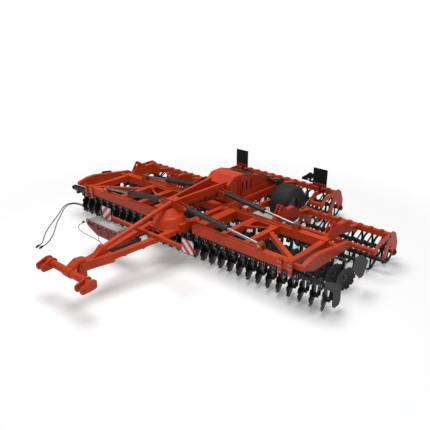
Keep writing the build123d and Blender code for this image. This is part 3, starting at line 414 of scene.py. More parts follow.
def painted(name, colour, roughness, wear, dust, coat, gloss=0.5, peel=0.12):
    material, tree, shader = new_material(name)
    grain = use_group(tree, CLOUD_AND_GRAIN, Cloud_Scale=1.7, Grain_Scale=240.0)
    edges = use_group(tree, EDGE_WEAR, Width=0.005, Amount=wear)
    worn = mix_colour(tree, edges.outputs["Mask"], cloudy(tree, grain, colour, 0.86, 1.1), PRIMER)
    settled = lay_dust(tree, shader, worn, dust, 4.0)
    fine = span(tree, grain.outputs["Grain"], *MOST_NOISE, roughness - 0.06, roughness + 0.08)
    tree.links.new(calculate(tree, "MULTIPLY_ADD", settled, 0.5, fine), shader.inputs["Roughness"])
    shader.inputs["Specular IOR Level"].default_value = gloss
    shader.inputs["Coat Weight"].default_value = coat
    shader.inputs["Coat Roughness"].default_value = 0.18
    bump(tree, shader, grain.outputs["Grain"], peel, 0.0006)
    return material


RED = painted("red_paint", (0.52, 0.042, 0.005), roughness=0.45, wear=0.2, dust=0.01, coat=0.05, gloss=0.25)
# darker copy of the red: painted shade on the skirt under the step, and the dark red back of the lamp trays
DEEP_RED_AND_SHADE = painted("deep_red_and_shade_paint", (0.26, 0.009, 0.01), roughness=0.42, wear=0.25, dust=0.02, coat=0.05,
                   gloss=0.3)
BLACK = painted("black_paint", (0.007, 0.007, 0.0075), roughness=0.5, wear=0.25, dust=0.02, coat=0.02,
                gloss=0.3)
GREY = painted("grey_barrel_paint", (0.036, 0.034, 0.031), roughness=0.5, wear=0.2, dust=0.03, coat=0.03,
               gloss=0.3)
RIM_GREY = painted("rim_paint", (0.05, 0.05, 0.052), roughness=0.45, wear=0.4, dust=0.2, coat=0.15)
DISC_BLACK = painted("disc_lacquer", (0.008, 0.007, 0.0075), roughness=0.48, wear=0.3, dust=0.02, coat=0.02,
                     gloss=0.35)
print("paints", [m.name for m in (RED, DEEP_RED_AND_SHADE, BLACK, GREY, RIM_GREY, DISC_BLACK)])

# %% [markdown]
# The bare metals come next: hard chrome on the cylinder rods, yellow passivated zinc on pins and fittings,
# plain zinc on bolts, the scoured edge of a disc, and hot-dip zinc on the step grating with its crystal
# patches. All but the last are drawn or ground in one direction, so one function with streaks makes them.

# %% Metals
METAL_DUST = 0.05


def bare_metal(name, dark, light, roughness, streaks=0.1):
    material, tree, shader = new_material(name)
    lines = use_group(tree, FINE_STREAKS, Scale=220.0)
    tree.links.new(object_vector(tree), lines.inputs["Vector"])
    streak = lines.outputs["Streaks"]
    steel = mix_colour(tree, span(tree, streak, *MOST_NOISE), dark, light)
    settled = lay_dust(tree, shader, steel, METAL_DUST, 6.0)
    shader.inputs["Metallic"].default_value = 1.0
    varied = span(tree, streak, *MOST_NOISE, roughness - 0.05, roughness + 0.08)
    tree.links.new(calculate(tree, "MULTIPLY_ADD", settled, 0.6, varied), shader.inputs["Roughness"])
    bump(tree, shader, streak, streaks, 0.0004)
    return material


def cells(tree, scale):
    """Crystal-like cells over the surface."""
    node = tree.nodes.new("ShaderNodeTexVoronoi")
    node.inputs["Scale"].default_value = scale
    tree.links.new(object_vector(tree), node.inputs["Vector"])
    return node


def zinc():
    material, tree, shader = new_material("galvanised_steel")
    grain = use_group(tree, CLOUD_AND_GRAIN, Cloud_Scale=3.0, Grain_Scale=180.0)
    patch = calculate(tree, "MULTIPLY_ADD", cells(tree, 70.0).outputs["Color"], 0.5, grain.outputs["Cloud"])
    spangled = mix_colour(tree, span(tree, patch, 0.45, 1.0), (0.42, 0.43, 0.43), (0.66, 0.67, 0.66))
    tree.links.new(spangled, shader.inputs["Base Color"])
    shader.inputs["Metallic"].default_value = 0.75
    tree.links.new(span(tree, patch, 0.3, 1.1, 0.38, 0.6), shader.inputs["Roughness"])
    bump(tree, shader, grain.outputs["Grain"], 0.15, 0.0005)
    return material


CHROME = bare_metal("hard_chrome", (0.26, 0.25, 0.25), (0.36, 0.35, 0.35), 0.32)
YELLOW_ZINC = bare_metal("passivated_zinc", (0.42, 0.27, 0.07), (0.6, 0.42, 0.14), 0.32)
BRIGHT = bare_metal("scoured_steel", (0.3, 0.3, 0.3), (0.5, 0.49, 0.47), 0.3, streaks=0.25)
ZINC_BOLT = bare_metal("plated_bolt", (0.25, 0.25, 0.24), (0.42, 0.41, 0.38), 0.4)
ZINC = zinc()
print("metals", [m.name for m in (CHROME, YELLOW_ZINC, BRIGHT, ZINC_BOLT, ZINC)])

# %% [markdown]
# Rubber is never quite black. Tyres are a dull grey-black with a little dust on their crowns, and hoses
# are smoother. The film on the boards has red and white bands at 45 degrees that lean outward on both
# sides of the machine, so the sum of height and distance from the middle gives the band.

# %% Rubber and striped film
def rubber(name, colour, roughness, dust):
    material, tree, shader = new_material(name)
    grain = use_group(tree, CLOUD_AND_GRAIN, Cloud_Scale=3.0, Grain_Scale=320.0)
    lay_dust(tree, shader, cloudy(tree, grain, colour, 0.75, 1.3), dust, 9.0)
    fine = span(tree, grain.outputs["Grain"], *MOST_NOISE, roughness - 0.08, roughness + 0.08)
    tree.links.new(fine, shader.inputs["Roughness"])
    bump(tree, shader, grain.outputs["Grain"], 0.3, 0.0006)
    return material


BANDS_TO_THE_METRE = 4.6


def warning_stripes():
    """Slanting bands under a clear film with fine reflecting cells."""
    material, tree, shader = new_material("striped_film")
    parts = tree.nodes.new("ShaderNodeSeparateXYZ")
    tree.links.new(object_vector(tree), parts.inputs[0])
    mirrored = calculate(tree, "ABSOLUTE", parts.outputs["X"])
    along_band = calculate(tree, "ADD", mirrored, parts.outputs["Z"])
    cycle = calculate(tree, "FRACT", calculate(tree, "MULTIPLY", along_band, BANDS_TO_THE_METRE))
    band = span(tree, cycle, 0.49, 0.51)
    banded = mix_colour(tree, band, (0.75, 0.73, 0.71), (0.55, 0.02, 0.015))
    tree.links.new(banded, shader.inputs["Base Color"])
    grain = use_group(tree, CLOUD_AND_GRAIN, Cloud_Scale=4.0, Grain_Scale=300.0)
    tree.links.new(span(tree, grain.outputs["Cloud"], *MOST_NOISE, 0.3, 0.45), shader.inputs["Roughness"])
    shader.inputs["Coat Weight"].default_value = 0.5
    bump(tree, shader, cells(tree, 240.0).outputs["Distance"], 0.08, 0.0004)
    return material


TYRE = rubber("tyre_rubber", (0.013, 0.013, 0.014), 0.75, 0.06)
HOSE = rubber("hose_rubber", (0.014, 0.014, 0.015), 0.5, 0.05)
STRIPES = warning_stripes()
print("rubbers and film", TYRE.name, HOSE.name, STRIPES.name)

# %% [markdown]
# The solids take their finishes by name. A real frame goes through the paint shop in welded assemblies,
# so each solid gets one paint, and only what is bolted on afterwards has another. The skirt under the step
# takes a darker copy of the frame's red, which paints the shade there. All that is not named here is part
# of the red frame.

# %% Finish of each solid
FINISHES = (
    # finish, starts of the solids' names
    (DISC_BLACK, ("centre_discs", "front_discs", "rear_discs")),
    (BLACK, ("disc_arms", "wing_front_rotor", "wing_rear_rotor", "centre_front_rotor", "centre_rear_rotor",
             "work_lamp", "marker_boards", "cord_couplings")),
    # the skirt's darker red is painted shade under the step
    (DEEP_RED_AND_SHADE, ("platform_skirt",)),
    (ZINC, ("platform_grating",)),
    (GREY, ("drawbar_strut", "front_barrel", "rear_barrel")),
    (CHROME, ("front_rod", "rear_rod")),
    (TYRE, ("tyre",)),
    (RIM_GREY, ("rim",)),
    (HOSE, ("hose", "signal_cable")))


def finish_of(name):
    for finish, starts in FINISHES:
        if name.startswith(starts):
            return finish
    return RED


for name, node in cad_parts.items():
    for slot in node.material_slots:
        slot.material = finish_of(name)
for finish in (RED, BLACK, DISC_BLACK, GREY, CHROME):
    print(finish.name, "on", sum(finish_of(name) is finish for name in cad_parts), "solids")

# %% [markdown]
# Small parts repeat by the hundred. Each is made once as a small mesh, and copies are stamped into larger
# meshes at the places where they belong, as real parts come off the shelf. Turned parts, from hose
# fittings to wheels, are all one idea: a profile swept once round an axis. It lists how far along the axis
# and how far out each corner lies, and a full spin closes the skin.

# %% Stamping and turned parts
def joined(bm):
    """Merges doubled corners and turns every face outward."""
    bmesh.ops.remove_doubles(bm, verts=bm.verts, dist=0.00002)
    bmesh.ops.recalc_face_normals(bm, faces=bm.faces)
    return bm


def frame_along(start, direction):
    """Matrix that carries the Z axis to the direction, and the origin to the start."""
    turn = Vector(direction).to_track_quat("Z", "Y").to_matrix().to_4x4()
    return Matrix.Translation(Vector(start)) @ turn


def kept(name, bm):
    """Finished small mesh, closed, facing outward, and ready for stamping."""
    joined(bm)
    mesh = bpy.data.meshes.new(name)
    bm.to_mesh(mesh)
    bm.free()
    return mesh


def stamp(bm, mesh, matrix, slot=None):
    """Copy of a small mesh. A mirrored copy has its faces turned back outward."""
    first_corner, first_face = len(bm.verts), len(bm.faces)
    bm.from_mesh(mesh)
    bm.verts.ensure_lookup_table()
    bm.faces.ensure_lookup_table()
    bmesh.ops.transform(bm, matrix=matrix, verts=bm.verts[first_corner:])
    faces = bm.faces[first_face:]
    if matrix.determinant() < 0:
        bmesh.ops.reverse_faces(bm, faces=faces)
    if slot is not None:
        for face in faces:
            face.material_index = slot


def put_in(bm, part, matrix, slot):
    """Moves a part that is needed only once into a larger mesh."""
    mesh = kept("part", part)
    stamp(bm, mesh, matrix, slot)
    bpy.data.meshes.remove(mesh)


def turned(bm, profile, start, direction, steps=20, slot=0):
    """Adds a turned part. Its profile is (distance along, radius) from end to end."""
    part = bmesh.new()
    corners = [part.verts.new((radius, 0.0, along)) for along, radius in profile]
    edges = [part.edges.new(pair) for pair in zip(corners, corners[1:])]
    bmesh.ops.spin(part, geom=corners + edges, angle=math.tau, steps=steps, use_merge=True,
                   axis=(0.0, 0.0, 1.0), cent=(0.0, 0.0, 0.0))
    for face in part.faces:
        face.smooth = True
    put_in(bm, part, frame_along(start, direction), slot)


def round_places(count, radius, shift=0.0):
    """Pairs of distances from a circle's middle, evenly round it. shift is in parts of a step."""
    angles = [math.tau / count * (number + shift) for number in range(count)]
    return [(radius * math.cos(angle), radius * math.sin(angle)) for angle in angles]


print("six places round a circle:", [(round(a, 2), round(b, 2)) for a, b in round_places(6, 1.0)])

# %% [markdown]
# Two hydraulic hoses and a signal cable lie on the floor on the left, where the driver dropped them when
# the tractor left. A hose is a fixed length of stiff rubber that rests in wide, easy curves. Its route is
# a list of places, from its exit down through the air and then along the floor.

# %% Routes of the hoses and the cable
HOSE_RADIUS = 0.011
CABLE_RADIUS = 0.006
HOSE_UPPER = ((-0.37, -0.09, 0.79), (-0.37, -0.09, 0.56), (-0.388, -0.082, 0.34), (-0.46, -0.074, 0.15),
              (-0.64, -0.078, 0.04), (-0.88, -0.09, 0.011), (-1.19, -0.106, 0.011),
              (-1.51, -0.114, 0.011), (-1.83, -0.116, 0.011), (-2.15, -0.11, 0.011), (-2.47, -0.1, 0.011),
              (-2.79, -0.094, 0.011), (-3.11, -0.106, 0.011), (-3.4, -0.15, 0.011), (-3.64, -0.25, 0.011),
              (-3.85, -0.37, 0.011), (-4.06, -0.445, 0.011), (-4.27, -0.452, 0.011),
              (-4.44, -0.52, 0.011), (-4.44, -0.69, 0.011), (-4.31, -0.88, 0.011), (-4.1, -1.08, 0.011),
              (-3.86, -1.31, 0.011), (-3.61, -1.57, 0.011), (-3.33, -1.79, 0.011), (-3.07, -2.01, 0.011),
              (-2.86, -2.23, 0.011), (-2.72, -2.41, 0.011), (-2.66, -2.55, 0.011))
HOSE_LOWER = ((-0.31, -0.03, 0.79), (-0.31, -0.03, 0.56), (-0.328, -0.022, 0.34), (-0.4, -0.016, 0.15),
              (-0.58, -0.022, 0.04), (-0.82, -0.036, 0.011), (-1.13, -0.052, 0.011),
              (-1.45, -0.062, 0.011), (-1.77, -0.066, 0.011), (-2.09, -0.062, 0.011),
              (-2.41, -0.048, 0.011), (-2.73, -0.042, 0.011), (-3.05, -0.048, 0.011),
              (-3.36, -0.086, 0.011), (-3.64, -0.19, 0.011), (-3.88, -0.318, 0.011),
              (-4.11, -0.39, 0.011), (-4.33, -0.402, 0.011), (-4.5, -0.5, 0.011), (-4.505, -0.69, 0.011),
              (-4.37, -0.9, 0.011), (-4.15, -1.12, 0.011), (-3.92, -1.38, 0.011), (-3.7, -1.64, 0.011),
              (-3.46, -1.92, 0.011), (-3.21, -2.16, 0.011), (-2.99, -2.34, 0.011), (-2.83, -2.46, 0.011),
              (-2.77, -2.58, 0.011))
CABLE = ((-1.5, -1.82, 0.59), (-1.503, -1.818, 0.5), (-1.512, -1.81, 0.41), (-1.53, -1.792, 0.32),
         (-1.56, -1.76, 0.23), (-1.602, -1.71, 0.145), (-1.655, -1.645, 0.07), (-1.725, -1.58, 0.02),
         (-1.83, -1.53, 0.006), (-1.98, -1.498, 0.006), (-2.15, -1.485, 0.006), (-2.32, -1.48, 0.006),
         (-2.49, -1.476, 0.006), (-2.65, -1.464, 0.006), (-2.8, -1.435, 0.006), (-2.93, -1.385, 0.006),
         (-3.03, -1.315, 0.006), (-3.09, -1.235, 0.006), (-3.11, -1.155, 0.006))
CORDS = (
    # name, route, radius, length, stiffness
    ("hose_upper", HOSE_UPPER, HOSE_RADIUS, 7.47, "stiff"),
    ("hose_lower", HOSE_LOWER, HOSE_RADIUS, 7.61, "stiff"),
    ("signal_cable", CABLE, CABLE_RADIUS, 2.23, "medium"))
print("cords", [(name, len(points), "points") for name, points, radius, length, stiffness in CORDS])

# %% [markdown]
# Each cord is a smooth curve through its points, and a round bevel gives it its body. A mesh swept by hand
# would do as well, but the curve keeps its length and bends evenly. The couplings and the plug are turned
# steel, and they lie on the floor in line with their cords.

# %% Hoses and cable
def hose_curve(name, lines, radius, roundness, steps):
    """One smooth curve with a round section through each line of points, with flat ends."""
    data = bpy.data.curves.new(name, "CURVE")
    data.dimensions = "3D"
    data.bevel_depth = radius
    data.bevel_resolution = roundness
    data.resolution_u = steps
    data.use_fill_caps = True
    for line in lines:
        spline = data.splines.new("NURBS")
        spline.points.add(len(line) - 1)
        for control, place in zip(spline.points, line):
            control.co = (*place, 1.0)
        spline.order_u = 3
        spline.use_endpoint_u = True
    data.materials.append(HOSE)
    piece = bpy.data.objects.new(name, data)
    bpy.context.scene.collection.objects.link(piece)
    return piece


COUPLING_RADIUS = 0.024
COUPLING_PROFILE = (
    # along, radius
    (0.0, 0.0), (0.0, 0.014), (0.024, 0.0145), (0.026, 0.02), (0.048, 0.02), (0.05, 0.024), (0.096, 0.024),
    (0.099, 0.0225), (0.108, 0.0225), (0.11, 0.0135), (0.132, 0.0135), (0.134, 0.0115), (0.142, 0.011),
    (0.145, 0.009), (0.145, 0.0))
PLUG_PROFILE = (
    # along, radius
    (0.0, 0.0), (0.0, 0.0085), (0.018, 0.01), (0.03, 0.017), (0.05, 0.024), (0.086, 0.024), (0.09, 0.022),
    (0.09, 0.0))


def cord_end(name, points, radius, profile):
    """Coupling or plug on the last point, lying on the floor in line with the cord."""
    tip = Vector(points[-1])
    way = (tip - Vector(points[-2])).normalized()
    bm = bmesh.new()
    turned(bm, profile, tip + Vector((0.0, 0.0, COUPLING_RADIUS - radius)), way, steps=24)
    return mesh_object(name + "_end", joined(bm), BLACK)


for name, points, radius, length, stiffness in CORDS:
    piece = hose_curve(name + "_laid", [points], radius, roundness=4, steps=10)
    profile = COUPLING_PROFILE if radius == HOSE_RADIUS else PLUG_PROFILE
    end = cord_end(name, points, radius, profile)
    for item in (piece, end):
        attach(item, "chassis")
    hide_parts(name)
    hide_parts("cord_couplings")
    print(name, "laid,", length, "m")

# %% [markdown]
# The machine was drawn with Y counted from the front row of discs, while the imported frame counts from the
# machine's middle. One number, read off the hitch crossbar's box, ties the two, so each piece below can
# be placed by the sizes that a fitter would measure on the machine.

# %% Places on the machine
DRAWN_FRONT = -3.28
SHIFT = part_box("hitch_crossbar")[0][1] - DRAWN_FRONT
SIDES = (("right", 1), ("left", -1))


def drawn(x, y, z):
    """Point so far right of the middle, behind the front row of discs and above the ground."""
    return Vector((x, y + SHIFT, z))


print("front row of discs at Y =", round(drawn(0, 0, 0).y, 3))

# %% [markdown]
# Cut bar and plate have slightly broken edges, which catch the light, so a block is a cube shape with its
# edges beveled. A bolt head is two cones, a flat round one for the washer and one with six sides.

# %% Blocks, bolts and finished pieces
def block(bm, middle, size, bevel=0.003, turn=None, slot=0):
    """Box with broken edges, as cut bar and plate have them."""
    part = bmesh.new()
    bmesh.ops.create_cube(part, size=1.0, matrix=Matrix.Diagonal((*size, 1.0)))
    bmesh.ops.bevel(part, geom=list(part.edges), offset=bevel, affect="EDGES", segments=1, profile=0.5,
                    material=-1)
    put_in(bm, part, Matrix.Translation(Vector(middle)) @ (turn or Matrix()), slot)


SHARP = math.radians(32)   # from this angle on, an edge between two faces is shown sharp


def fitted(name, bm, body, slot, *materials, replaces=None):
    """Finished piece on a body of the machine, with its edges sharp where faces meet at an angle."""
    for edge in bm.edges:
        edge.smooth = edge.is_manifold and edge.calc_face_angle() < SHARP
    for face in bm.faces:
        face.smooth = True
    piece = mesh_object(name, bm, *materials)
    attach(piece, body)
    if replaces:
        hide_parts(replaces)
    triangles = sum(len(polygon.vertices) - 2 for polygon in piece.data.polygons)
    print(name, "on", body, triangles, "triangles")


def bolt_mesh():
    """Hexagon head on a washer, one unit from its axis to a corner, standing on its own Z = 0."""
    bm = bmesh.new()
    bmesh.ops.create_cone(bm, cap_ends=True, segments=10, radius1=1.3, radius2=1.3, depth=0.3,
                          matrix=Matrix.Translation((0.0, 0.0, 0.1)))
    bmesh.ops.create_cone(bm, cap_ends=True, segments=6, radius1=1.0, radius2=0.9, depth=0.9,
                          matrix=Matrix.Translation((0.0, 0.0, 0.65)))
    return kept("bolt", bm)


BOLT = bolt_mesh()


def bolt(bm, place, direction, size=0.012, slot=0):
    """Bolt head at a place, pointing along a direction. Its size is from axis to corner."""
    stamp(bm, BOLT, frame_along(place, direction) @ Matrix.Scale(size, 4), slot)


print("a bolt has", len(BOLT.polygons), "faces")

# %% [markdown]
# A cutting disc is pressed from flat steel into a shallow dish, and ten half-round notches are punched
# from its rim so that it grips. It could be a boolean of a bowl and ten rods, as the solid is, but the
# rim would shade badly. Here a thin profile is spun with ten steps to a notch, and the rim's corners are
# then slid inward by the circle of the punch. The last 12 mm are ground from the back to an edge.
# First come the sizes, and where the rim runs between two notches.

# %% Sizes of a disc
DISC_RADIUS = 0.255
DISC_DISH = 0.05
DISC_THICK = 0.007
DISC_YAW = math.radians(17)
TEETH = 10
PUNCH_RADIUS = 0.034
PUNCH_MIDDLE = DISC_RADIUS - 0.026 + PUNCH_RADIUS
TOOTH_STEPS = 10
ALL_STEPS = TEETH * TOOTH_STEPS
PUNCH_STEPS = 7
GROUND = 0.012
BOWL = (DISC_RADIUS ** 2 + DISC_DISH ** 2) / (2 * DISC_DISH)
PUNCH_ANGLE = math.acos((DISC_RADIUS ** 2 + PUNCH_MIDDLE ** 2 - PUNCH_RADIUS ** 2)
                        / (2 * DISC_RADIUS * PUNCH_MIDDLE))


def dish_depth(radius):
    return DISC_DISH / 2 - BOWL + math.sqrt(BOWL ** 2 - radius ** 2)


def rim_at(step):
    """Angle inside a tooth and the rim's radius there, for one of the steps of the spin."""
    if step > PUNCH_STEPS:
        land = (math.tau / TEETH - 2 * PUNCH_ANGLE) / (TOOTH_STEPS - PUNCH_STEPS)
        return PUNCH_ANGLE + land * (step - PUNCH_STEPS), DISC_RADIUS
    angle = PUNCH_ANGLE * (2 * step / PUNCH_STEPS - 1)
    reach = math.sqrt(PUNCH_RADIUS ** 2 - (PUNCH_MIDDLE * math.sin(angle)) ** 2)
    return angle, PUNCH_MIDDLE * math.cos(angle) - reach


print("a notch is", round(math.degrees(PUNCH_ANGLE) * 2, 1), "degrees wide")

# %% [markdown]
# The blade is spun from three runs of corners: up the back of the dish, over the rim and down the hollow
# side. Faces near the rim get the bright ground steel. Six bolts and a short cone join it to its hub.

# %% Notched disc
HUB_BOLTS = 6
HUB_BOLT_CIRCLE = 0.053
HUB_BOLT = 0.0085
HUB_CONE = ((0.018, 0.0), (0.014, 0.024), (-0.004, 0.03), (-0.004, 0.0))
BRIGHT_FROM = DISC_RADIUS - 2.2 * GROUND


def blade_mesh():
    radii = (0.0, 0.04, 0.066, 0.11, 0.16, 0.2, DISC_RADIUS - GROUND)
    back = [(dish_depth(r), r) for r in radii]
    rim = [(dish_depth(DISC_RADIUS) - DISC_THICK, DISC_RADIUS)]
    hollow = [(dish_depth(r) - DISC_THICK, r) for r in reversed(radii)]
    bm = bmesh.new()
    turned(bm, back + rim + hollow, (0.0, 0.0, 0.0), (0.0, 0.0, 1.0), steps=ALL_STEPS)
    joined(bm)
    for corner in bm.verts:
        radius = corner.co.xy.length
        if radius < 0.01:
            continue
        turn = math.atan2(corner.co.y, corner.co.x) / math.tau
        tooth, step = divmod(round(turn * ALL_STEPS) % ALL_STEPS, TOOTH_STEPS)
        angle, rim_radius = rim_at(step)
        on_back = corner.co.z > dish_depth(radius) - DISC_THICK / 2
        if radius > DISC_RADIUS - GROUND - 0.001:
            radius += rim_radius - DISC_RADIUS
        angle += math.tau / TEETH * tooth
        corner.co = (radius * math.cos(angle), radius * math.sin(angle),
                     dish_depth(radius) - (0.0 if on_back else DISC_THICK))
    for face in bm.faces:
        on_rim = face.calc_center_median().xy.length > BRIGHT_FROM
        face.material_index = int(on_rim and abs(face.normal.z) < 0.9)
    for across, up in round_places(HUB_BOLTS, HUB_BOLT_CIRCLE):
        spot = (across, up, dish_depth(HUB_BOLT_CIRCLE) - DISC_THICK)
        bolt(bm, spot, (0.0, 0.0, -1.0), size=HUB_BOLT, slot=2)
    turned(bm, HUB_CONE, (0.0, 0.0, 0.0), (0.0, 0.0, 1.0), steps=16)
    return kept("blade", bm)


BLADE = blade_mesh()
print("a blade has", len(BLADE.polygons), "faces")

# %% [markdown]
# Thirty discs stand in each row, a quarter of a metre apart. The front row throws soil one way and the rear
# row, half a pitch aside, throws it back. The rows are split where the wings fold, so each group becomes
# one mesh on its own body.

# %% Rows of discs
DISC_PITCH = 0.25
DISCS_PER_ROW = 30
DISC_TURN = 0.4     # radians from one disc's notches to the next one's, as they come to rest
FOLD_LINE = 0.52
ROWS = (
    # row, sideways step, Y, side of the hubs, Y of the toolbar
    ("front", 0.0, 0.0, 1, -0.32),
    ("rear", -0.125, 0.93, -1, 0.9))


def row_places(step):
    first = -(DISCS_PER_ROW - 1) * DISC_PITCH / 2 + step
    return [first + DISC_PITCH * number for number in range(DISCS_PER_ROW)]


def part_of_row(group, places):
    if group == "centre":
        return [x for x in places if abs(x) < FOLD_LINE]
    sign = dict(SIDES)[group]
    return [x for x in places if x * sign >= FOLD_LINE]


def add_discs(bm, group, row):
    name, step, y, back, bar_y = row
    turn = Matrix.Rotation(back * DISC_YAW, 4, "Z") @ Matrix.Scale(back, 4, (1.0, 0.0, 0.0))
    for number, x in enumerate(part_of_row(group, row_places(step))):
        spin = Matrix.Rotation(DISC_TURN * number, 4, "Z")
        stamp(bm, BLADE, Matrix.Translation(drawn(x, y, DISC_RADIUS)) @ turn
              @ Matrix.Rotation(math.pi / 2, 4, "Y") @ spin)


for side, sign in SIDES:
    for row in ROWS:
        bm = bmesh.new()
        add_discs(bm, side, row)
        fitted(f"{row[0]}_blades_{side}", bm, f"wing_{side}", "black_steel", DISC_BLACK, BRIGHT, ZINC_BOLT,
               replaces=f"{row[0]}_discs_{side}")
bm = bmesh.new()
for row in ROWS:
    add_discs(bm, "centre", row)
fitted("centre_blades", bm, "chassis", "black_steel", DISC_BLACK, BRIGHT, ZINC_BOLT, replaces="centre_discs")

# %% [markdown]
# Each disc hangs on its own arm, and a jaw clamps the arm under the toolbar with four long bolts, with
# rubber cords in the corners that let it give when it meets a stone. The solids hold the arms and the
# jaws. The plated bolts with their studs, and the ends of the rubber cords, are added here.

# %% Clamps on the toolbars
ARM_STEP = (DISC_DISH / 2 + 0.065) * math.cos(DISC_YAW)
JAW_BOTTOM = 0.65
JAW_TOP = 0.71
JAW_BOLTS = [(across, along) for across in (-0.022, 0.022) for along in (-0.055, 0.055)]
JAW_BOLT = 0.012
STUD = ((0.0, 0.0), (0.0, 0.006), (0.045, 0.006), (0.045, 0.0))
CORD_ROWS, CORD_Z = (-0.044, 0.044), JAW_TOP + 0.03
CORD_END = ((-0.042, 0.0), (-0.042, 0.01), (0.042, 0.01), (0.042, 0.0))


def clamp_mesh():
    """Bolts and cords of one arm, about the toolbar's middle, at their real heights."""
    bm = bmesh.new()
    for across, along in JAW_BOLTS:
        bolt(bm, (across, along, JAW_BOTTOM), (0.0, 0.0, -1.0), size=JAW_BOLT, slot=1)
        bolt(bm, (across, along, JAW_TOP), (0.0, 0.0, 1.0), size=JAW_BOLT, slot=1)
        turned(bm, STUD, (across, along, JAW_TOP), (0.0, 0.0, 1.0), steps=6, slot=1)
    for along in CORD_ROWS:
        turned(bm, CORD_END, (0.0, along, CORD_Z), (1.0, 0.0, 0.0), steps=8, slot=2)
    return kept("clamp", bm)


CLAMP = clamp_mesh()
for group in ("centre", "right", "left"):
    bm = bmesh.new()
    for name, step, y, back, bar_y in ROWS:
        for x in part_of_row(group, row_places(step)):
            stamp(bm, CLAMP, Matrix.Translation(drawn(x + back * ARM_STEP, bar_y, 0.0)))
    body = "chassis" if group == "centre" else f"wing_{group}"
    fitted(f"arm_clamps_{group}", bm, body, "black_steel", BLACK, ZINC_BOLT, HOSE)

# %% [markdown]
# Behind the discs, rings press the soil firm again. A ring is a strip rolled into a U and bent round, so
# its section is drawn once as a thin open channel and spun about the shaft. Three flat spokes carry it,
# each with a foot welded into the channel. A rotor is one shaft with eight or twelve such rings, and it
# turns as one body.

# %% Ring rollers
RING_RADIUS = 0.3
RING_PITCH = 0.25
SHAFT_RADIUS = 0.045
STUB_RADIUS = 0.028
STUB_LENGTH = 0.04
CHANNEL = (
    # along the shaft, radius: once round the rolled section
    (-0.0225, 0.266), (-0.0225, 0.288), (-0.018, 0.296), (-0.009, RING_RADIUS), (0.009, RING_RADIUS),
    (0.018, 0.296), (0.0225, 0.288), (0.0225, 0.266), (0.0165, 0.266), (0.0165, 0.286), (0.006, 0.292),
    (-0.006, 0.292), (-0.0165, 0.286), (-0.0165, 0.266), (-0.0225, 0.266))
SPOKES = 3
SPOKE_MIDDLE, SPOKE = 0.163, (0.04, 0.014, 0.245)
FOOT_MIDDLE, FOOT = 0.273, (0.033, 0.04, 0.012)
SLEEVE = ((-0.028, 0.04), (-0.028, 0.053), (-0.022, 0.058), (0.022, 0.058), (0.028, 0.053), (0.028, 0.04))


def ring_mesh():
    bm = bmesh.new()
    turned(bm, CHANNEL, (0.0, 0.0, 0.0), (1.0, 0.0, 0.0), steps=48)
    turned(bm, SLEEVE, (0.0, 0.0, 0.0), (1.0, 0.0, 0.0), steps=20)
    for number in range(SPOKES):
        turn = Matrix.Rotation(math.tau / SPOKES * number + math.pi, 4, "X")
        block(bm, turn @ Vector((0.0, 0.0, SPOKE_MIDDLE)), SPOKE, bevel=0.003, turn=turn)
        block(bm, turn @ Vector((0.0, 0.0, FOOT_MIDDLE)), FOOT, bevel=0.002, turn=turn)
    return kept("ring", bm)


RING = ring_mesh()


def rotor_shaft(length):
    """Profile of a shaft with a thinner stub on each end, its corners broken by 4 mm."""
    end, edge = length + STUB_LENGTH, 0.004
    return ((-STUB_LENGTH, 0.0), (-STUB_LENGTH, STUB_RADIUS - edge), (-STUB_LENGTH + edge, STUB_RADIUS),
            (0.0, STUB_RADIUS), (0.0, SHAFT_RADIUS), (length, SHAFT_RADIUS), (length, STUB_RADIUS),
            (end - edge, STUB_RADIUS), (end, STUB_RADIUS - edge), (end, 0.0))


def rotor_piece(name, body, x_from, x_to, y, shift):
    """Rings and shaft of one rotor, in place of the solid of the same name as its body."""
    bm = bmesh.new()
    count = int((x_to - x_from) / RING_PITCH)
    first = (x_from + x_to) / 2 - (count - 1) * RING_PITCH / 2 + shift
    for number in range(count):
        stamp(bm, RING, Matrix.Translation(drawn(first + number * RING_PITCH, y, RING_RADIUS)))
    turned(bm, rotor_shaft(x_to - x_from), drawn(x_from, y, RING_RADIUS), (1.0, 0.0, 0.0), steps=28)
    fitted(name, joined(bm), body, "black_steel", BLACK, replaces=body)


ROTORS = (
    # row, Y on the wings, Y at the centre, sideways step of the rings
    ("front", 2.05, 3.52, -0.0625),
    ("rear", 2.57, 4.04, 0.0625))
WING_ROTOR = (1.613, 3.727)
CENTRE_ROTOR = (-1.567, 1.567)
for name, wing_y, centre_y, step in ROTORS:
    rotor_piece(f"centre_{name}_rings", f"centre_{name}_rotor", *CENTRE_ROTOR, centre_y, step)
    for side, sign in SIDES:
        ends = sorted(sign * x for x in WING_ROTOR)
        rotor_piece(f"wing_{name}_rings_{side}", f"wing_{name}_rotor_{side}", *ends, wing_y, sign * step)

# %% [markdown]
# Every rotor runs in flanged bearings bolted to the legs of its rockers. A cast housing is a turned
# shape with four bolts and a grease nipple, and a cap keeps the soil out.

# %% Bearings
BEARING_BOLTS = 4
BEARING_BOLT_CIRCLE = 0.059
NIPPLE = ((0.0, 0.004), (0.014, 0.004), (0.014, 0.0))
HOUSING = ((0.0, 0.0), (0.0, 0.07), (0.012, 0.07), (0.015, 0.05), (0.034, 0.046), (0.038, 0.04), (0.04, 0.0))


def bearing_mesh():
    """Housing standing on Z = 0, its axis along Z."""
    bm = bmesh.new()
    turned(bm, HOUSING, (0.0, 0.0, 0.0), (0.0, 0.0, 1.0), steps=24)
    for across, up in round_places(BEARING_BOLTS, BEARING_BOLT_CIRCLE, shift=0.5):
        bolt(bm, (across, up, 0.011), (0.0, 0.0, 1.0), size=0.009, slot=1)
    turned(bm, NIPPLE, (0.0, 0.046, 0.02), (0.0, 1.0, 0.0), steps=6, slot=1)
    return kept("bearing", bm)


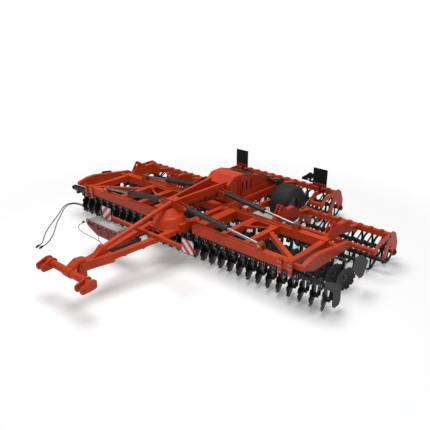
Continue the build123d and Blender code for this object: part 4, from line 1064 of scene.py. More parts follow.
BEARING = bearing_mesh()
ROCKER_FACES = (
    # body, Y of both rotors, X of an outer face and which way it looks
    ("chassis", (3.52, 4.04), ((1.6125, 1), (-1.6125, -1))),
    ("wing_right", (2.05, 2.57), ((3.76, 1), (1.58, -1))),
    ("wing_left", (2.05, 2.57), ((-3.76, -1), (-1.58, 1))))
for body, rows, faces in ROCKER_FACES:
    bm = bmesh.new()
    for y in rows:
        for x, way in faces:
            stamp(bm, BEARING, frame_along(drawn(x, y, RING_RADIUS), (way, 0.0, 0.0)))
    fitted(f"bearings_{body}", bm, body, "black_steel", BLACK, ZINC_BOLT)

# %% [markdown]
# On the road the machine rolls on two wide, soft tyres. A flotation tyre has a broad flat crown cut
# across by narrow grooves, and a round shoulder. The body is one closed profile spun in fine steps, and
# every third strip of the crown is inset and pushed in to make a groove.

# %% Tyres
WHEEL_X, WHEEL_Y, WHEEL_Z = 0.9, 2.65, 0.66
TYRE_SIDE = ((0.175, 0.232), (0.205, 0.236), (0.236, 0.262), (0.249, 0.315), (0.248, 0.37), (0.238, 0.408),
             (0.222, 0.434), (0.196, 0.452), (0.15, 0.46), (0.1, 0.463), (0.05, 0.465))
TYRE_TOP = 0.465
TYRE_INSIDE = ((-0.15, 0.245), (0.15, 0.245))
CROWN_FROM = 0.424
TYRE_STEPS = 144
STRIPS_TO_A_GROOVE = 3
GROOVE_WALL, GROOVE_DEPTH = 0.0035, 0.012


def tyre_mesh():
    outside = [*TYRE_SIDE, (0.0, TYRE_TOP), *((-along, radius) for along, radius in reversed(TYRE_SIDE))]
    bm = bmesh.new()
    turned(bm, [*outside, *TYRE_INSIDE, outside[0]], (0.0, 0.0, 0.0), (1.0, 0.0, 0.0), steps=TYRE_STEPS)
    joined(bm)
    grooves = []
    for face in bm.faces:
        middle = face.calc_center_median()
        step = int(math.atan2(middle.z, middle.y) / math.tau * TYRE_STEPS + TYRE_STEPS)
        if middle.yz.length > CROWN_FROM and step % STRIPS_TO_A_GROOVE == 0:
            grooves.append(face)
    bmesh.ops.inset_region(bm, faces=grooves, thickness=GROOVE_WALL, depth=-GROOVE_DEPTH,
                           use_even_offset=True, use_boundary=True)
    return kept("tyre", bm)


TYRE_SHAPE = tyre_mesh()
for side, sign in SIDES:
    bm = bmesh.new()
    stamp(bm, TYRE_SHAPE, Matrix.Translation(drawn(sign * WHEEL_X, WHEEL_Y, WHEEL_Z)))
    fitted(f"tyre_{side}_grooved", bm, f"wheel_{side}", "tyre_rubber", TYRE, replaces=f"tyre_{side}")

# %% [markdown]
# A wheel is a rolled rim with a pressed disc welded in. The disc is dished so that its bolts reach the
# hub, and eight nuts hold it round a turned cap.

# %% Wheels
RIM_SECTION = ((0.2, 0.232), (0.2, 0.222), (0.185, 0.205), (-0.185, 0.205), (-0.2, 0.222), (-0.2, 0.232),
               (-0.19, 0.236), (-0.178, 0.231), (0.178, 0.231), (0.19, 0.236), (0.2, 0.232))
WHEEL_DISC = ((0.062, 0.0), (0.062, 0.115), (0.088, 0.15), (0.098, 0.19), (0.098, 0.208), (0.108, 0.208),
              (0.11, 0.188), (0.1, 0.146), (0.074, 0.11), (0.074, 0.0))
WHEEL_NUTS = 8
NUT_CIRCLE = 0.094
HUB_CAP = ((-0.06, 0.0), (-0.06, 0.07), (0.074, 0.07), (0.1, 0.062), (0.112, 0.05), (0.116, 0.0))


def wheel_mesh():
    """Wheel with its outer face towards X, about its own middle."""
    bm = bmesh.new()
    for profile in (RIM_SECTION, WHEEL_DISC, HUB_CAP):
        turned(bm, profile, (0.0, 0.0, 0.0), (1.0, 0.0, 0.0), steps=48)
    for along, up in round_places(WHEEL_NUTS, NUT_CIRCLE):
        bolt(bm, (0.074, along, up), (1.0, 0.0, 0.0), size=0.013, slot=1)
    return kept("wheel", bm)


WHEEL = wheel_mesh()
for side, sign in SIDES:
    bm = bmesh.new()
    stamp(bm, WHEEL, Matrix.Translation(drawn(sign * WHEEL_X, WHEEL_Y, WHEEL_Z))
          @ Matrix.Scale(sign, 4, (1.0, 0.0, 0.0)))
    fitted(f"rim_{side}_pressed", bm, f"wheel_{side}", "rim_steel", RIM_GREY, ZINC_BOLT,
           replaces=f"rim_{side}")

# %% [markdown]
# Four long cylinders fold the wings. Each barrel carries a gland nut, two welded ports and a hard pipe
# that brings oil from its foot to its far end, held by bands. The pins at both ends are kept by plated
# caps, and a cap stays with the part that its pin is fixed in.

# %% Cylinders
CYLINDER_FOOT = (0.38, 1.27)
CYLINDER_EYE = (2.33, 1.062)
CYLINDER_ROWS = (("front", -0.32), ("rear", 0.9))
BARREL_LENGTH = 1.13
BAND = ((-0.012, 0.05), (-0.012, 0.059), (0.012, 0.059), (0.012, 0.05))
BANDS = (0.1, 0.52, 0.86)   # distances from the foot
BAND_LUG_OUT, BAND_LUG = 0.066, (0.022, 0.03, 0.022)
PORTS = (0.14, 1.02)
PORT_OUT, PORT_TOP, PORT_BLOCK = 0.062, 0.078, (0.045, 0.04, 0.034)
PIPE_OUT = 0.07             # from the barrel's axis to the pipe's
PIPE = ((0.16, 0.0), (0.16, 0.0075), (1.0, 0.0075), (1.0, 0.0))
GLAND = ((-0.074, 0.056), (-0.074, 0.0635), (-0.006, 0.0635), (0.0, 0.058), (0.0, 0.04), (0.008, 0.04),
         (0.01, 0.036), (0.01, 0.031))
PIN_CAP = ((-0.004, 0.0), (-0.004, 0.034), (0.009, 0.034), (0.012, 0.03), (0.012, 0.012), (0.02, 0.011),
           (0.02, 0.0))
CAP_OUT = 0.06


def barrel_fittings(name, side, sign, y):
    foot = drawn(sign * CYLINDER_FOOT[0], y, CYLINDER_FOOT[1])
    eye = drawn(sign * CYLINDER_EYE[0], y, CYLINDER_EYE[1])
    way = (eye - foot).normalized()
    turn = way.to_track_quat("X", "Z").to_matrix().to_4x4()
    up = turn @ Vector((0.0, 0.0, 1.0))
    end = foot + way * BARREL_LENGTH
    bm = bmesh.new()
    turned(bm, GLAND, end, way, steps=32)
    for along in BANDS:
        middle = foot + way * along
        turned(bm, BAND, middle, way, steps=32)
        block(bm, middle + up * BAND_LUG_OUT, BAND_LUG, turn=turn)
    for along in PORTS:
        port = foot + way * along
        block(bm, port + up * PORT_OUT, PORT_BLOCK, turn=turn)
        bolt(bm, port + up * PORT_TOP, up, size=0.014, slot=1)
    turned(bm, PIPE, foot + up * PIPE_OUT, way, steps=10)
    fitted(f"{name}_barrel_fittings_{side}", joined(bm), f"{name}_barrel_{side}", "grey_barrel", GREY,
           YELLOW_ZINC)


def pin_caps(name, body, places):
    """Plated caps on both ends of cross pins that lie along Y. Places are points at the pins' middles."""
    bm = bmesh.new()
    for place in places:
        for way in (-1, 1):
            turned(bm, PIN_CAP, place + Vector((0.0, way * CAP_OUT, 0.0)), (0.0, way, 0.0), steps=20)
    fitted(name, joined(bm), body, "galvanised", YELLOW_ZINC)


for side, sign in SIDES:
    for name, y in CYLINDER_ROWS:
        barrel_fittings(name, side, sign, y)
    eyes = [drawn(sign * CYLINDER_EYE[0], y, CYLINDER_EYE[1]) for name, y in CYLINDER_ROWS]
    pin_caps(f"eye_caps_{side}", f"wing_{side}", eyes)
pin_caps("foot_caps", "chassis", [drawn(sign * CYLINDER_FOOT[0], y, CYLINDER_FOOT[1])
                                  for side, sign in SIDES for name, y in CYLINDER_ROWS])

# %% [markdown]
# Ahead of each roller a square tube ties the ends of the rockers and levels the soil before the rings.
# It hangs on curved noses cut from the same plate as the rockers. A nose is a flat face with its outline
# walked once round, extruded to the plate's thickness and beveled.

# %% Cut plates and the front tubes of the rollers
def cut_plate(bm, outline, start, thickness, across=(1.0, 0.0, 0.0), bevel=0.003):
    """Plate from an outline of (Y, Z) points as drawn, or (X, Z) where it lies across the machine."""
    sideways = Vector(across)
    part = bmesh.new()
    if abs(sideways.x) > 0.5:
        corners = [part.verts.new(drawn(start, y, z)) for y, z in outline]
    else:
        corners = [part.verts.new(drawn(x, start, z)) for x, z in outline]
    face = part.faces.new(corners)
    pushed = bmesh.ops.extrude_face_region(part, geom=[face])
    moved = [item for item in pushed["geom"] if isinstance(item, bmesh.types.BMVert)]
    bmesh.ops.translate(part, vec=sideways * thickness, verts=moved)
    bmesh.ops.bevel(part, geom=list(part.edges), offset=bevel, affect="EDGES", segments=1, profile=0.5,
                    material=-1)
    put_in(bm, part, Matrix(), 0)


PLATE = 0.025
TUBE = 0.09
TUBE_Z = 0.64
TUBE_AHEAD = 0.4
CROSS_TUBE_TOP = 0.855
HANGER = ((3.05, 0.6), (3.05, 0.7), (3.3, 0.84), (3.72, 0.83), (3.72, 0.72), (3.4, 0.72), (3.19, 0.6))


def nose_outline(front_y, rear_y):
    """Outline from the tip ahead of the front rotor, over the top, and back along the underside."""
    tip = front_y - TUBE_AHEAD
    middle = (front_y + rear_y) / 2
    return ((tip - 0.06, TUBE_Z - 0.055), (tip - 0.06, TUBE_Z + 0.06), (tip + 0.03, CROSS_TUBE_TOP - 0.065),
            (front_y - 0.2, CROSS_TUBE_TOP - 0.012), (middle - 0.06, CROSS_TUBE_TOP),
            (middle - 0.03, CROSS_TUBE_TOP - 0.1), (front_y - 0.05, CROSS_TUBE_TOP - 0.115),
            (tip + 0.13, TUBE_Z + 0.06), (tip + 0.06, TUBE_Z - 0.04), (tip + 0.03, TUBE_Z - 0.055))


NOSES = (
    # body, Y of the rotors, inner X of each nose plate, tubes from X to X
    ("wing_right", (2.05, 2.57), (1.58, 3.735), ((1.605, 3.735),)),
    ("wing_left", (2.05, 2.57), (-3.76, -1.605), ((-3.735, -1.605),)),
    ("chassis", (3.52, 4.04), (-1.6125, 1.5875), ((-1.5875, -1.23), (1.23, 1.5875))))
for body, rows, plates, tubes in NOSES:
    bm = bmesh.new()
    for x in plates:
        cut_plate(bm, nose_outline(*rows), x, PLATE)
    for x_from, x_to in tubes:
        block(bm, drawn((x_from + x_to) / 2, rows[0] - TUBE_AHEAD, TUBE_Z), (x_to - x_from, TUBE, TUBE),
              bevel=0.008)
        if body == "chassis":
            cut_plate(bm, HANGER, x_from if x_from > 0 else x_to - PLATE, PLATE)
    fitted(f"roller_noses_{body}", bm, body, "red_paint", RED)

# %% [markdown]
# Scrapers clean the rings. What shows of each is its mount on top of the cross tube: a small block over
# every gap between two rings, held by two bolts. One mount is made and stamped along each tube.

# %% Scraper mounts
SCRAPER_FOOT = 0.825
SCRAPER_BLOCK = (0.07, 0.09, 0.024)
SCRAPER_BOLTS = (-0.02, 0.02)
FIRST_SCRAPER, LAST_SCRAPER = 0.2, 0.15   # from the outermost plates of a roller's frame


def scraper_mesh():
    bm = bmesh.new()
    block(bm, (0.0, 0.0, SCRAPER_BLOCK[2] / 2), SCRAPER_BLOCK, bevel=0.004)
    for across in SCRAPER_BOLTS:
        bolt(bm, (across, 0.0, SCRAPER_BLOCK[2]), (0.0, 0.0, 1.0), size=0.011, slot=1)
    return kept("scraper", bm)


SCRAPER = scraper_mesh()
for body, rows, plates, tubes in NOSES:
    bm = bmesh.new()
    middle = sum(rows) / 2
    first, last = min(plates) + FIRST_SCRAPER, max(plates) - LAST_SCRAPER
    count = int((last - first) / RING_PITCH) + 1
    for number in range(count):
        stamp(bm, SCRAPER, Matrix.Translation(drawn(first + number * RING_PITCH, middle, SCRAPER_FOOT)))
    fitted(f"scraper_mounts_{body}", bm, body, "red_paint", RED, ZINC_BOLT)

# %% [markdown]
# The drum at the front of the frame is a deep-drawn bell that closes over the hitch's turning gear. It is
# one turned profile with a rolled lip at its foot and a soft shoulder under the post. Bolts hold the front
# half of the lip, where a fitter can reach them.

# %% Bell of the drum
BELL_Y = -0.468
BELL = (
    # height, radius
    (0.845, 0.0), (0.845, 0.382), (0.852, 0.39), (0.866, 0.39), (0.872, 0.382), (0.885, 0.376),
    (1.0, 0.336), (1.05, 0.312), (1.086, 0.282), (1.106, 0.245), (1.114, 0.2), (1.114, 0.0))
LIP_BOLTS = 10
LIP_CIRCLE = 0.385
LIP_TOP = 0.87
bm = bmesh.new()
turned(bm, BELL, drawn(0.0, BELL_Y, 0.0), (0.0, 0.0, 1.0), steps=72)
for x, y in round_places(LIP_BOLTS, LIP_CIRCLE):
    if y < -0.05:
        bolt(bm, drawn(x, BELL_Y + y, LIP_TOP), (0.0, 0.0, 1.0), size=0.014)
fitted("drum_bell", bm, "chassis", "red_paint", RED)

# %% [markdown]
# The long guard over the middle is a welded box that falls off to the rear. Rolled rims run along the
# upper edges of its walls, four ribs cross it and a dark mat lies on its highest part. Narrow black blocks
# just inside its walls paint the shade that one sees through the slots in them. The rims and the mat are
# short bars laid end to end along the wall's edge.

# %% Rims, ribs, mat and painted slot shade of the guard
GUARD_TOP = (
    # Y and Z along the top edge of a wall, as drawn
    (1.045, 1.3), (1.062, 1.386), (1.25, 1.537), (1.43, 1.542), (1.6, 1.545), (1.9, 1.458), (2.18, 1.366),
    (2.8, 1.106), (3.09, 1.058))
GUARD_HALF = 0.35
GUARD_RIBS = (
    # Y, Z and tilt in degrees
    (1.25, 1.537, 20.0), (1.6, 1.541, -9.0), (2.18, 1.366, -20.0), (2.8, 1.108, -16.0))
GUARD_RIB = (2 * GUARD_HALF - 0.04, 0.05, 0.022)
RIM_WIDE, RIM_HIGH = 0.036, 0.02
MAT_WIDE, MAT_THICK = 0.52, 0.01
# black blocks just inside the walls: painted shade seen through the slots
SLOT_SHADE_ROWS = (1.56, 1.72, 1.88)
SLOT_SHADE_X, SLOT_SHADE_Z, SLOT_SHADE_SIZE = 0.335, 1.24, (0.012, 0.058, 0.236)


def strip_along(bm, path, x, width, height, lift=0.0):
    """Bar laid along a path of (Y, Z) points, with its middle at X. Its lengths overlap a little."""
    for (y, z), (y_end, z_end) in zip(path, path[1:]):
        start, end = drawn(x, y, z + lift), drawn(x, y_end, z_end + lift)
        way = end - start
        turn = way.to_track_quat("Y", "Z").to_matrix().to_4x4()
        block(bm, (start + end) / 2, (width, way.length + height * 0.35, height), turn=turn)


bm = bmesh.new()
for sign in (-1, 1):
    strip_along(bm, GUARD_TOP, sign * (GUARD_HALF - RIM_WIDE / 2), RIM_WIDE, RIM_HIGH)
for y, z, tilt in GUARD_RIBS:
    block(bm, drawn(0.0, y, z), GUARD_RIB, bevel=0.004, turn=Matrix.Rotation(math.radians(tilt), 4, "X"))
fitted("guard_rims", bm, "chassis", "red_paint", RED)
bm = bmesh.new()
strip_along(bm, GUARD_TOP[2:6], 0.0, MAT_WIDE, MAT_THICK, lift=0.001)
# painted shade: black blocks behind the slots, where the inside of the guard lies in shade
for sign in (-1, 1):
    for y in SLOT_SHADE_ROWS:
        block(bm, drawn(sign * SLOT_SHADE_X, y, SLOT_SHADE_Z), SLOT_SHADE_SIZE, bevel=0.002)
fitted("guard_trough", bm, "chassis", "black_steel", BLACK)

# %% [markdown]
# Hoses that stay on the machine are held at both ends and clipped along the frame. Each bundle is one
# curve object with a few smooth splines, and a round bevel gives the hoses their body. The first bundle
# lies on the rear slope of the guard, and its four hoses cross a little, as real ones do.

# %% Hoses along the guard
GUARD_HOSE_RADIUS = 0.013
LYING = (
    # Y and Z of a hose on the rear slope of the guard, as drawn
    (1.7, 1.516), (1.85, 1.48), (2.1, 1.4), (2.5, 1.244), (2.85, 1.104), (3.02, 1.08))
HOSE_WAYS = (
    # X of one hose at each of those places
    (-0.12, -0.1, -0.16, -0.1, -0.12, -0.14), (-0.04, 0.0, -0.05, 0.0, -0.03, -0.05),
    (0.06, 0.1, 0.06, 0.12, 0.08, 0.1), (0.15, 0.2, 0.15, 0.2, 0.16, 0.19))
HOSE_LINES = [[(x, y, z) for x, (y, z) in zip(way, LYING)] for way in HOSE_WAYS]


def clipped_hoses(name, body, lines, radius):
    """Hoses held at both ends, from lines of points as drawn."""
    placed = [[drawn(*place) for place in line] for line in lines]
    piece = hose_curve(name, placed, radius, roundness=3, steps=8)
    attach(piece, body)
    print(name, "on", body, len(lines), "hoses")


clipped_hoses("guard_hoses", "chassis", HOSE_LINES, GUARD_HOSE_RADIUS)

# %% [markdown]
# Boards on the road carry red and white film in slanting bands, so that the width of the machine is seen
# at night. The film lies on the front of the front boards and on the back of the rear boards. Each film
# is a thin beveled block, and a bolt with a washer holds each corner of the sheet.

# %% Films and bolts of the boards
FILM = 0.003
CORNER_IN = 0.02    # from a sheet's edges to its corner bolts
BOARDS = (
    # Y of the film as drawn, width, height, middle Z, way that the film faces
    (-1.1885, 0.31, 0.29, 0.975, -1.0),
    (3.5135, 0.38, 0.44, 1.18, 1.0))
BOARD_X = 1.25
bm = bmesh.new()
for y, width, height, z, facing in BOARDS:
    for x in (-BOARD_X, BOARD_X):
        block(bm, drawn(x, y, z), (width, FILM, height), bevel=0.001)
        for across in (CORNER_IN - width / 2, width / 2 - CORNER_IN):
            for up in (CORNER_IN - height / 2, height / 2 - CORNER_IN):
                corner = drawn(x + across, y + facing * FILM / 2, z + up)
                bolt(bm, corner, (0.0, facing, 0.0), size=0.01, slot=1)
fitted("board_films", bm, "chassis", "board_sheet", STRIPES, ZINC_BOLT)

# %% [markdown]
# Under each rear board sits a lamp housing, a shallow tray with red and amber glasses to the rear. Its back,
# as seen from the front, takes the same darker red that paints the shade on the skirt of the step. The
# glasses are coloured plastic, and a smooth glossy coat over a deep colour looks as they do by day.

# %% Lamp trays
LENS_RED = painted("red_lens", (0.35, 0.01, 0.008), roughness=0.12, wear=0.0, dust=0.02, coat=0.6, peel=0.05)
LENS_AMBER = painted("amber_lens", (0.6, 0.2, 0.01), roughness=0.12, wear=0.0, dust=0.02, coat=0.6, peel=0.05)
TRAY_Y, TRAY_Z, TRAY = 3.518, 0.985, (0.37, 0.05, 0.09)
RIB_Y, TRAY_RIB, TRAY_RIBS = 3.49, (0.012, 0.008, 0.07), (-0.15, -0.05, 0.05, 0.15)
GLASS_Y = 3.546
GLASSES = (
    # distance outward from the board's middle, size, material slot
    (-0.08, (0.17, 0.014, 0.07), 1), (0.09, (0.14, 0.014, 0.07), 2))
bm = bmesh.new()
for side, sign in SIDES:
    block(bm, drawn(sign * BOARD_X, TRAY_Y, TRAY_Z), TRAY, bevel=0.01)
    for across in TRAY_RIBS:
        block(bm, drawn(sign * BOARD_X + across, RIB_Y, TRAY_Z), TRAY_RIB, bevel=0.002)
    for outward, glass, slot in GLASSES:
        block(bm, drawn(sign * (BOARD_X + outward), GLASS_Y, TRAY_Z), glass, bevel=0.004, slot=slot)
fitted("rear_lamps", bm, "chassis", "board_sheet", DEEP_RED_AND_SHADE, LENS_RED, LENS_AMBER)

# %% [markdown]
# One round lamp looks to the rear between the boards. Lens, rim and ribs are one turned profile, and
# beside it a stack of small brackets and a flat rail carries its wires.

# %% Round lamp and its brackets
LAMP = (0.96, 3.53, 1.16)
LAMP_PROFILE = (
    # along, radius
    (-0.045, 0.0), (-0.045, 0.062), (-0.036, 0.082), (-0.02, 0.085), (-0.014, 0.079), (-0.008, 0.085),
    (0.0, 0.079), (0.008, 0.085), (0.016, 0.079), (0.03, 0.07), (0.046, 0.04), (0.05, 0.0))
BRACKETS = (
    # X, Z, width, height
    (0.855, 1.105, 0.045, 0.12), (0.8, 1.085, 0.05, 0.08), (0.745, 1.065, 0.045, 0.045))
BRACKET_DEEP = 0.06
RAIL_X, RAIL_Z, RAIL = 0.83, 1.03, (0.24, 0.03, 0.025)
RAIL_BOLTS = (0.75, 0.8, 0.86)
bm = bmesh.new()
turned(bm, LAMP_PROFILE, drawn(*LAMP), (0.0, 1.0, 0.0), steps=40)
for x, z, width, height in BRACKETS:
    block(bm, drawn(x, LAMP[1], z), (width, BRACKET_DEEP, height), bevel=0.004)
block(bm, drawn(RAIL_X, LAMP[1], RAIL_Z), RAIL, bevel=0.004)
for x in RAIL_BOLTS:
    bolt(bm, drawn(x, LAMP[1] - RAIL[1] / 2, RAIL_Z), (0.0, -1.0, 0.0), size=0.011, slot=1)
fitted("lamp_brackets", bm, "chassis", "black_steel", BLACK, YELLOW_ZINC)

# %% [markdown]
# The step is a safety grating: flat bars on edge, with teeth along the outer bars that bite into a boot's
# sole, and pressed strips across. A toothed bar is its whole sawtooth outline, pushed to the bar's thickness.

# %% Teeth of the grating
STEP_LEFT, STEP_RIGHT = -1.61, -0.57
STEP_Z = 0.8
SAW_PITCH = 0.05
SAW_TEETH = int((STEP_RIGHT - STEP_LEFT) / SAW_PITCH)
BAR_THICK, BAR_DEEP = 0.005, 0.03
BARS = (
    # Y and height of the teeth
    (-1.436, 0.026), (-1.375, 0.008), (-1.313, 0.008), (-1.25, 0.008), (-1.195, 0.026))
STRIP_Y, STRIP = -1.312, (0.03, 0.235, 0.012)


def toothed_bar(bm, y, height):
    under = STEP_Z - BAR_DEEP
    outline = [(STEP_LEFT, under), (STEP_LEFT + SAW_TEETH * SAW_PITCH, under)]
    for number in range(SAW_TEETH, 0, -1):
        x = STEP_LEFT + number * SAW_PITCH
        outline += [(x, STEP_Z), (x - SAW_PITCH * 0.2, STEP_Z + height),
                    (x - SAW_PITCH * 0.5, STEP_Z + height), (x - SAW_PITCH * 0.7, STEP_Z)]
    outline.append((STEP_LEFT, STEP_Z))
    cut_plate(bm, outline, y, BAR_THICK, across=(0.0, 1.0, 0.0), bevel=0.0008)


bm = bmesh.new()
for y, height in BARS:
    toothed_bar(bm, y, height)
for number in range(SAW_TEETH):
    x = STEP_LEFT + (number + 0.5) * SAW_PITCH
    block(bm, drawn(x, STRIP_Y, STEP_Z - 0.004), STRIP)
fitted("step_teeth", bm, "chassis", "galvanised", ZINC)

# %% [markdown]
# Every hose and cable leaves the machine through a tapered rubber sleeve that spreads its bend, so that it
# doesn't break at the fitting. A sleeve is a turned taper with three grooves round it.

# %% Strain reliefs
def strain_relief(bm, place, radius, length):
    """Sleeve that points down from a cord's exit, as thick as the cord asks."""
    profile = [(0.0, 0.0), (0.0, radius * 1.75), (0.006, radius * 1.8)]
    for number in range(3):
        along = 0.012 + number * length * 0.22
        wide = radius * (1.72 - number * 0.18)
        profile += [(along, wide), (along + 0.002, wide * 0.9), (along + 0.005, wide * 0.9),
                    (along + 0.007, wide * 0.97)]
    profile += [(length, radius * 1.12), (length, 0.0)]
    turned(bm, profile, place, (0.0, 0.0, -1.0), steps=20)


bm = bmesh.new()
for name, points, radius, length, stiffness in CORDS:
    strain_relief(bm, points[0], radius, length=0.055 if radius == HOSE_RADIUS else 0.035)
fitted("strain_reliefs", bm, "chassis", "hose_rubber", HOSE)

# %% [markdown]
# The drawbar swivels on a stout pin. Its two caps are turned, with six bolts each, and the hinges of the
# wings have a smaller cap on each end of their pins, held by one large bolt.

# %% Caps of the swivel and the hinges
CAP = ((0.0, 0.0), (0.0, 0.086), (0.008, 0.09), (0.016, 0.086), (0.016, 0.05), (0.024, 0.045), (0.024, 0.0))
SMALL_CAP = tuple((along, out * 0.42) for along, out in CAP)
CAP_BOLTS = 6
CAP_BOLT_CIRCLE = 0.068
SWIVEL_Y = -2.76
SWIVEL_ENDS = (
    # Z of each end of the swivel's barrel, way that the end faces
    (0.85, 1.0), (0.54, -1.0))
bm = bmesh.new()
for z, way in SWIVEL_ENDS:
    turned(bm, CAP, drawn(0.0, SWIVEL_Y, z), (0.0, 0.0, way), steps=40)
    for x, y in round_places(CAP_BOLTS, CAP_BOLT_CIRCLE):
        bolt(bm, drawn(x, SWIVEL_Y + y, z + way * 0.015), (0.0, 0.0, way), size=0.012, slot=1)
fitted("swivel_caps", bm, "chassis", "red_paint", RED, ZINC_BOLT)

HINGE_X, HINGE_Z = 0.52, 0.98
HINGE_HALF = 0.062
HINGE_ENDS = [(middle + way * HINGE_HALF, way) for middle in (-0.175, 0.75) for way in (-1.0, 1.0)]
bm = bmesh.new()
for side, sign in SIDES:
    for y, way in HINGE_ENDS:
        turned(bm, SMALL_CAP, drawn(sign * HINGE_X, y, HINGE_Z), (0.0, way, 0.0), steps=24)
        bolt(bm, drawn(sign * HINGE_X, y + way * 0.022, HINGE_Z), (0.0, way, 0.0), size=0.014, slot=1)
fitted("hinge_caps", bm, "chassis", "red_paint", RED, YELLOW_ZINC)

# %% [markdown]
# Small clamps hold the lines under the tubes of the drawbar and under the crossbar. Each is a rounded
# block with one bolt from below.

# %% Clamps of the lines
TUBE_FOOT, TUBE_HEAD = Vector((0.11, -2.19, 0.74)), Vector((0.34, -0.67, 0.83))
TUBE_CLAMPS = (0.22, 0.5, 0.78)                 # parts of the way along a tube
CLAMP_DROP = 0.07                               # from a tube's middle to a clamp's
CROSSBAR_CLAMPS = (-1.05, -0.75, 0.62, 0.95)    # X on the crossbar
CROSSBAR_Y, CROSSBAR_CLAMP_Z = -1.14, 0.838


def line_clamp(bm, place, size, bolt_drop):
    """Block with its middle at the place, and a bolt so far under its middle."""
    block(bm, place, size, bevel=0.006)
    bolt(bm, place - Vector((0.0, 0.0, bolt_drop)), (0.0, 0.0, -1.0), size=0.012, slot=1)


bm = bmesh.new()
for side, sign in SIDES:
    for part in TUBE_CLAMPS:
        spot = TUBE_FOOT.lerp(TUBE_HEAD, part)
        line_clamp(bm, drawn(sign * spot.x, spot.y, spot.z - CLAMP_DROP), (0.06, 0.07, 0.035), 0.017)
for x in CROSSBAR_CLAMPS:
    line_clamp(bm, drawn(x, CROSSBAR_Y, CROSSBAR_CLAMP_Z), (0.05, 0.08, 0.03), 0.015)
fitted("line_clamps", bm, "chassis", "black_steel", BLACK, ZINC_BOLT)

# %% [markdown]
# Oil reaches the folding cylinders along the upper plates. Two hoses run there on each side, clipped to the
# plate, and end at a brass-coloured fitting on the lugs. The plate slants outward to the rear, so the
# hoses take their distance from its face.

# %% Lines along the upper plates
LINE_RADIUS = 0.011
LINE_ROWS = (1.3, 1.1, 0.8, 0.5, 0.2, -0.12)            # Y of a line's places, from the rear
PLATE_FRONT, PLATE_REAR = (0.08, -0.38), (0.27, 1.45)   # X and Y of the middle of the right upper plate
PLATE_HALF = 0.032
LINE_Z, LINE_RISE = 1.16, 0.045
LINE_OUT, LINE_GAP = 0.016, 0.04
CLIP_ROWS = (0.1, 0.45, 0.8, 1.15)
CLIP_OUT, CLIP_FACE, CLIP = 0.014, 0.03, (0.034, 0.03, 0.09)
LUG_PLACE = (0.24, -0.235, 1.27)
LUG_FITTING = ((-0.02, 0.0), (-0.02, 0.018), (0.014, 0.018), (0.014, 0.013), (0.03, 0.013), (0.03, 0.0))


def plate_face(y, out):
    """X of a place so far out from the outer face of the right upper plate."""
    part = (y - PLATE_FRONT[1]) / (PLATE_REAR[1] - PLATE_FRONT[1])
    return PLATE_FRONT[0] + part * (PLATE_REAR[0] - PLATE_FRONT[0]) + PLATE_HALF + out


def line_height(y):
    return LINE_Z + LINE_RISE * (y - PLATE_FRONT[1])


for side, sign in SIDES:
    lines = []
    for level in (0.0, LINE_GAP):
        path = [(plate_face(y, LINE_OUT), y, line_height(y) + level) for y in LINE_ROWS]
        path += [(0.17, -0.17, 1.2 + level), (0.21, -0.18, 1.25 + level), (0.22 + level, -0.24, 1.27)]
        lines.append([(sign * x, y, z) for x, y, z in path])
    clipped_hoses(f"cylinder_lines_{side}", "chassis", lines, LINE_RADIUS)
    bm = bmesh.new()
    for y in CLIP_ROWS:
        z = line_height(y) + LINE_GAP / 2
        block(bm, drawn(sign * plate_face(y, CLIP_OUT), y, z), CLIP, bevel=0.004)
        bolt(bm, drawn(sign * plate_face(y, CLIP_FACE), y, z), (float(sign), 0.0, 0.0), size=0.011, slot=1)
    lug = drawn(sign * LUG_PLACE[0], *LUG_PLACE[1:])
    turned(bm, LUG_FITTING, lug, (0.0, 1.0, 0.0), steps=6, slot=2)
    fitted(f"line_clips_{side}", bm, "chassis", "black_steel", BLACK, ZINC_BOLT, YELLOW_ZINC)

# %% [markdown]
# At the rear of the guard the lines leave in a thick bundle from a valve block. It is a solid block with
# three fittings, one over another, on its front and on its rear, and a hose in each.

# %% Valve block and its hoses
VALVE_X, VALVE_Y, VALVE_Z = 0.415, 2.93, 1.03
VALVE_BLOCK = (0.1, 0.2, 0.12)
VALVE_LEVELS = (-0.035, 0.0, 0.035)
BUNDLE_RADIUS = 0.015
VALVE_FITTING = ((0.0, 0.0), (0.0, 0.018), (0.026, 0.018), (0.026, 0.013), (0.045, 0.013), (0.045, 0.0))
TO_THE_FRONT = (
    (VALVE_X, 2.79, VALVE_Z), (VALVE_X, 2.7, VALVE_Z + 0.05), (0.41, 2.6, 1.13), (0.37, 2.52, 1.21),
    (0.3, 2.48, 1.25))
TO_THE_REAR = (
    (VALVE_X, 3.07, VALVE_Z), (VALVE_X, 3.14, VALVE_Z), (0.38, 3.19, 0.98), (0.27, 3.16, 0.92),
    (0.2, 3.11, 0.9))
bm = bmesh.new()
block(bm, drawn(VALVE_X, VALVE_Y, VALVE_Z), VALVE_BLOCK, bevel=0.008)
for up in VALVE_LEVELS:
    for way in (-1.0, 1.0):
        face = drawn(VALVE_X, VALVE_Y + way * VALVE_BLOCK[1] / 2, VALVE_Z + up)
        turned(bm, VALVE_FITTING, face, (0.0, way, 0.0), steps=6, slot=1)
fitted("valve_block", bm, "chassis", "black_steel", BLACK, YELLOW_ZINC)
bundle = [[(x, y, z + up) for x, y, z in route]
          for route in (TO_THE_FRONT, TO_THE_REAR) for up in VALVE_LEVELS]
clipped_hoses("rear_bundle", "chassis", bundle, BUNDLE_RADIUS)

# %% [markdown]
# Upright flanges stiffen the guard's walls in front, a flat rail runs along the foot of each wall and a
# narrow one just under its upper edge. The flanges are cut plates, the rails bars laid end to end.

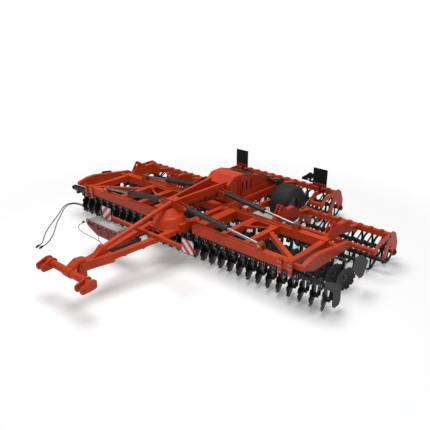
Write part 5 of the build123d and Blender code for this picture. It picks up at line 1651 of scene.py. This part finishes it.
# %% Flanges and rails of the guard
FLANGE_ROWS = (1.4, 1.47)
FLANGE_THICK = 0.014
FLANGES = (
    # X of the edge from which a flange's outline is drawn, on each side
    ("right", 0.345), ("left", -0.4))
FOOT_RAIL = ((1.95, 1.02), (2.15, 1.08), (2.35, 1.09), (2.6, 1.06), (2.85, 1.0))
EDGE_RAIL = ((1.06, 1.0), (1.09, 1.38), (1.25, 1.52), (1.6, 1.53), (2.18, 1.345), (2.8, 1.08))
bm = bmesh.new()
for side, start in FLANGES:
    outline = ((start, 0.97), (start + 0.055, 0.97), (start + 0.055, 1.2), (start + 0.04, 1.45), (start, 1.5))
    for y in FLANGE_ROWS:
        cut_plate(bm, outline, y, FLANGE_THICK, across=(0.0, 1.0, 0.0))
    rail_x = dict(SIDES)[side] * (GUARD_HALF + 0.002)
    strip_along(bm, FOOT_RAIL, rail_x, 0.02, 0.04)
    strip_along(bm, EDGE_RAIL, rail_x, 0.014, 0.03)
fitted("guard_flanges", bm, "chassis", "red_paint", RED)

# %% [markdown]
# The end plates of the wings' front beams take the toolbars' ends, and they are bolted through, so that a
# bent toolbar can be changed. Larger bolts hold the clamps of the beams from above.

# %% Bolts of the wings' frames
END_PLATES = (2.86, 3.09)
END_PLATE_BOLTS = [(across, z) for across in (-0.024, 0.024) for z in (0.73, 0.85, 0.93)]
BEAM_TOP = 0.97
TOP_BOLTS = [(x, y) for x in (0.75, 1.15, 1.55) for y in (-0.32, 0.9)]
for side, sign in SIDES:
    bm = bmesh.new()
    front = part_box(f"wing_front_beam_{side}")[0][1]
    for x in END_PLATES:
        for across, z in END_PLATE_BOLTS:
            bolt(bm, (sign * (x + across), front, z), (0.0, -1.0, 0.0), size=0.014)
    for x, y in TOP_BOLTS:
        bolt(bm, drawn(sign * x, y, BEAM_TOP), (0.0, 0.0, 1.0), size=0.016)
    fitted(f"frame_bolts_{side}", bm, f"wing_{side}", "red_paint", ZINC_BOLT)

# %% [markdown]
# The skirt of the step is a folded sheet with a row of bolts along its top, pressed ribs, and a dark lid
# and latch over the hoses' parking place. All of them are small blocks and bolts on its front face.

# %% Details of the skirt
SKIRT_FACE = -1.449
SKIRT_ENDS = (-1.6, -0.4)
SKIRT_BOLTS, SKIRT_BOLT_Z = 9, 0.775
SKIRT_PARTS = (
    # X, how far in front of the face, Z, size, bevel, material slot
    (-1.16, 0.004, 0.65, (0.022, 0.012, 0.17), 0.004, 0),
    (-0.9, 0.004, 0.65, (0.022, 0.012, 0.17), 0.004, 0),
    (-0.64, 0.004, 0.65, (0.022, 0.012, 0.17), 0.004, 0),
    (-0.9, 0.004, 0.745, (0.9, 0.012, 0.016), 0.004, 0),
    (-1.5, 0.006, 0.735, (0.17, 0.014, 0.055), 0.006, 1),
    (-1.24, 0.008, 0.7, (0.05, 0.02, 0.07), 0.006, 1))
bm = bmesh.new()
for number in range(SKIRT_BOLTS):
    x = SKIRT_ENDS[0] + (SKIRT_ENDS[1] - SKIRT_ENDS[0]) * number / (SKIRT_BOLTS - 1)
    bolt(bm, drawn(x, SKIRT_FACE, SKIRT_BOLT_Z), (0.0, -1.0, 0.0), size=0.01, slot=2)
for x, out, z, size, bevel, slot in SKIRT_PARTS:
    block(bm, drawn(x, SKIRT_FACE - out, z), size, bevel=bevel, slot=slot)
# the skirt's pressed ribs take the darker red, painted shade under the step
fitted("skirt_details", bm, "chassis", "red_paint", DEEP_RED_AND_SHADE, BLACK, ZINC_BOLT)
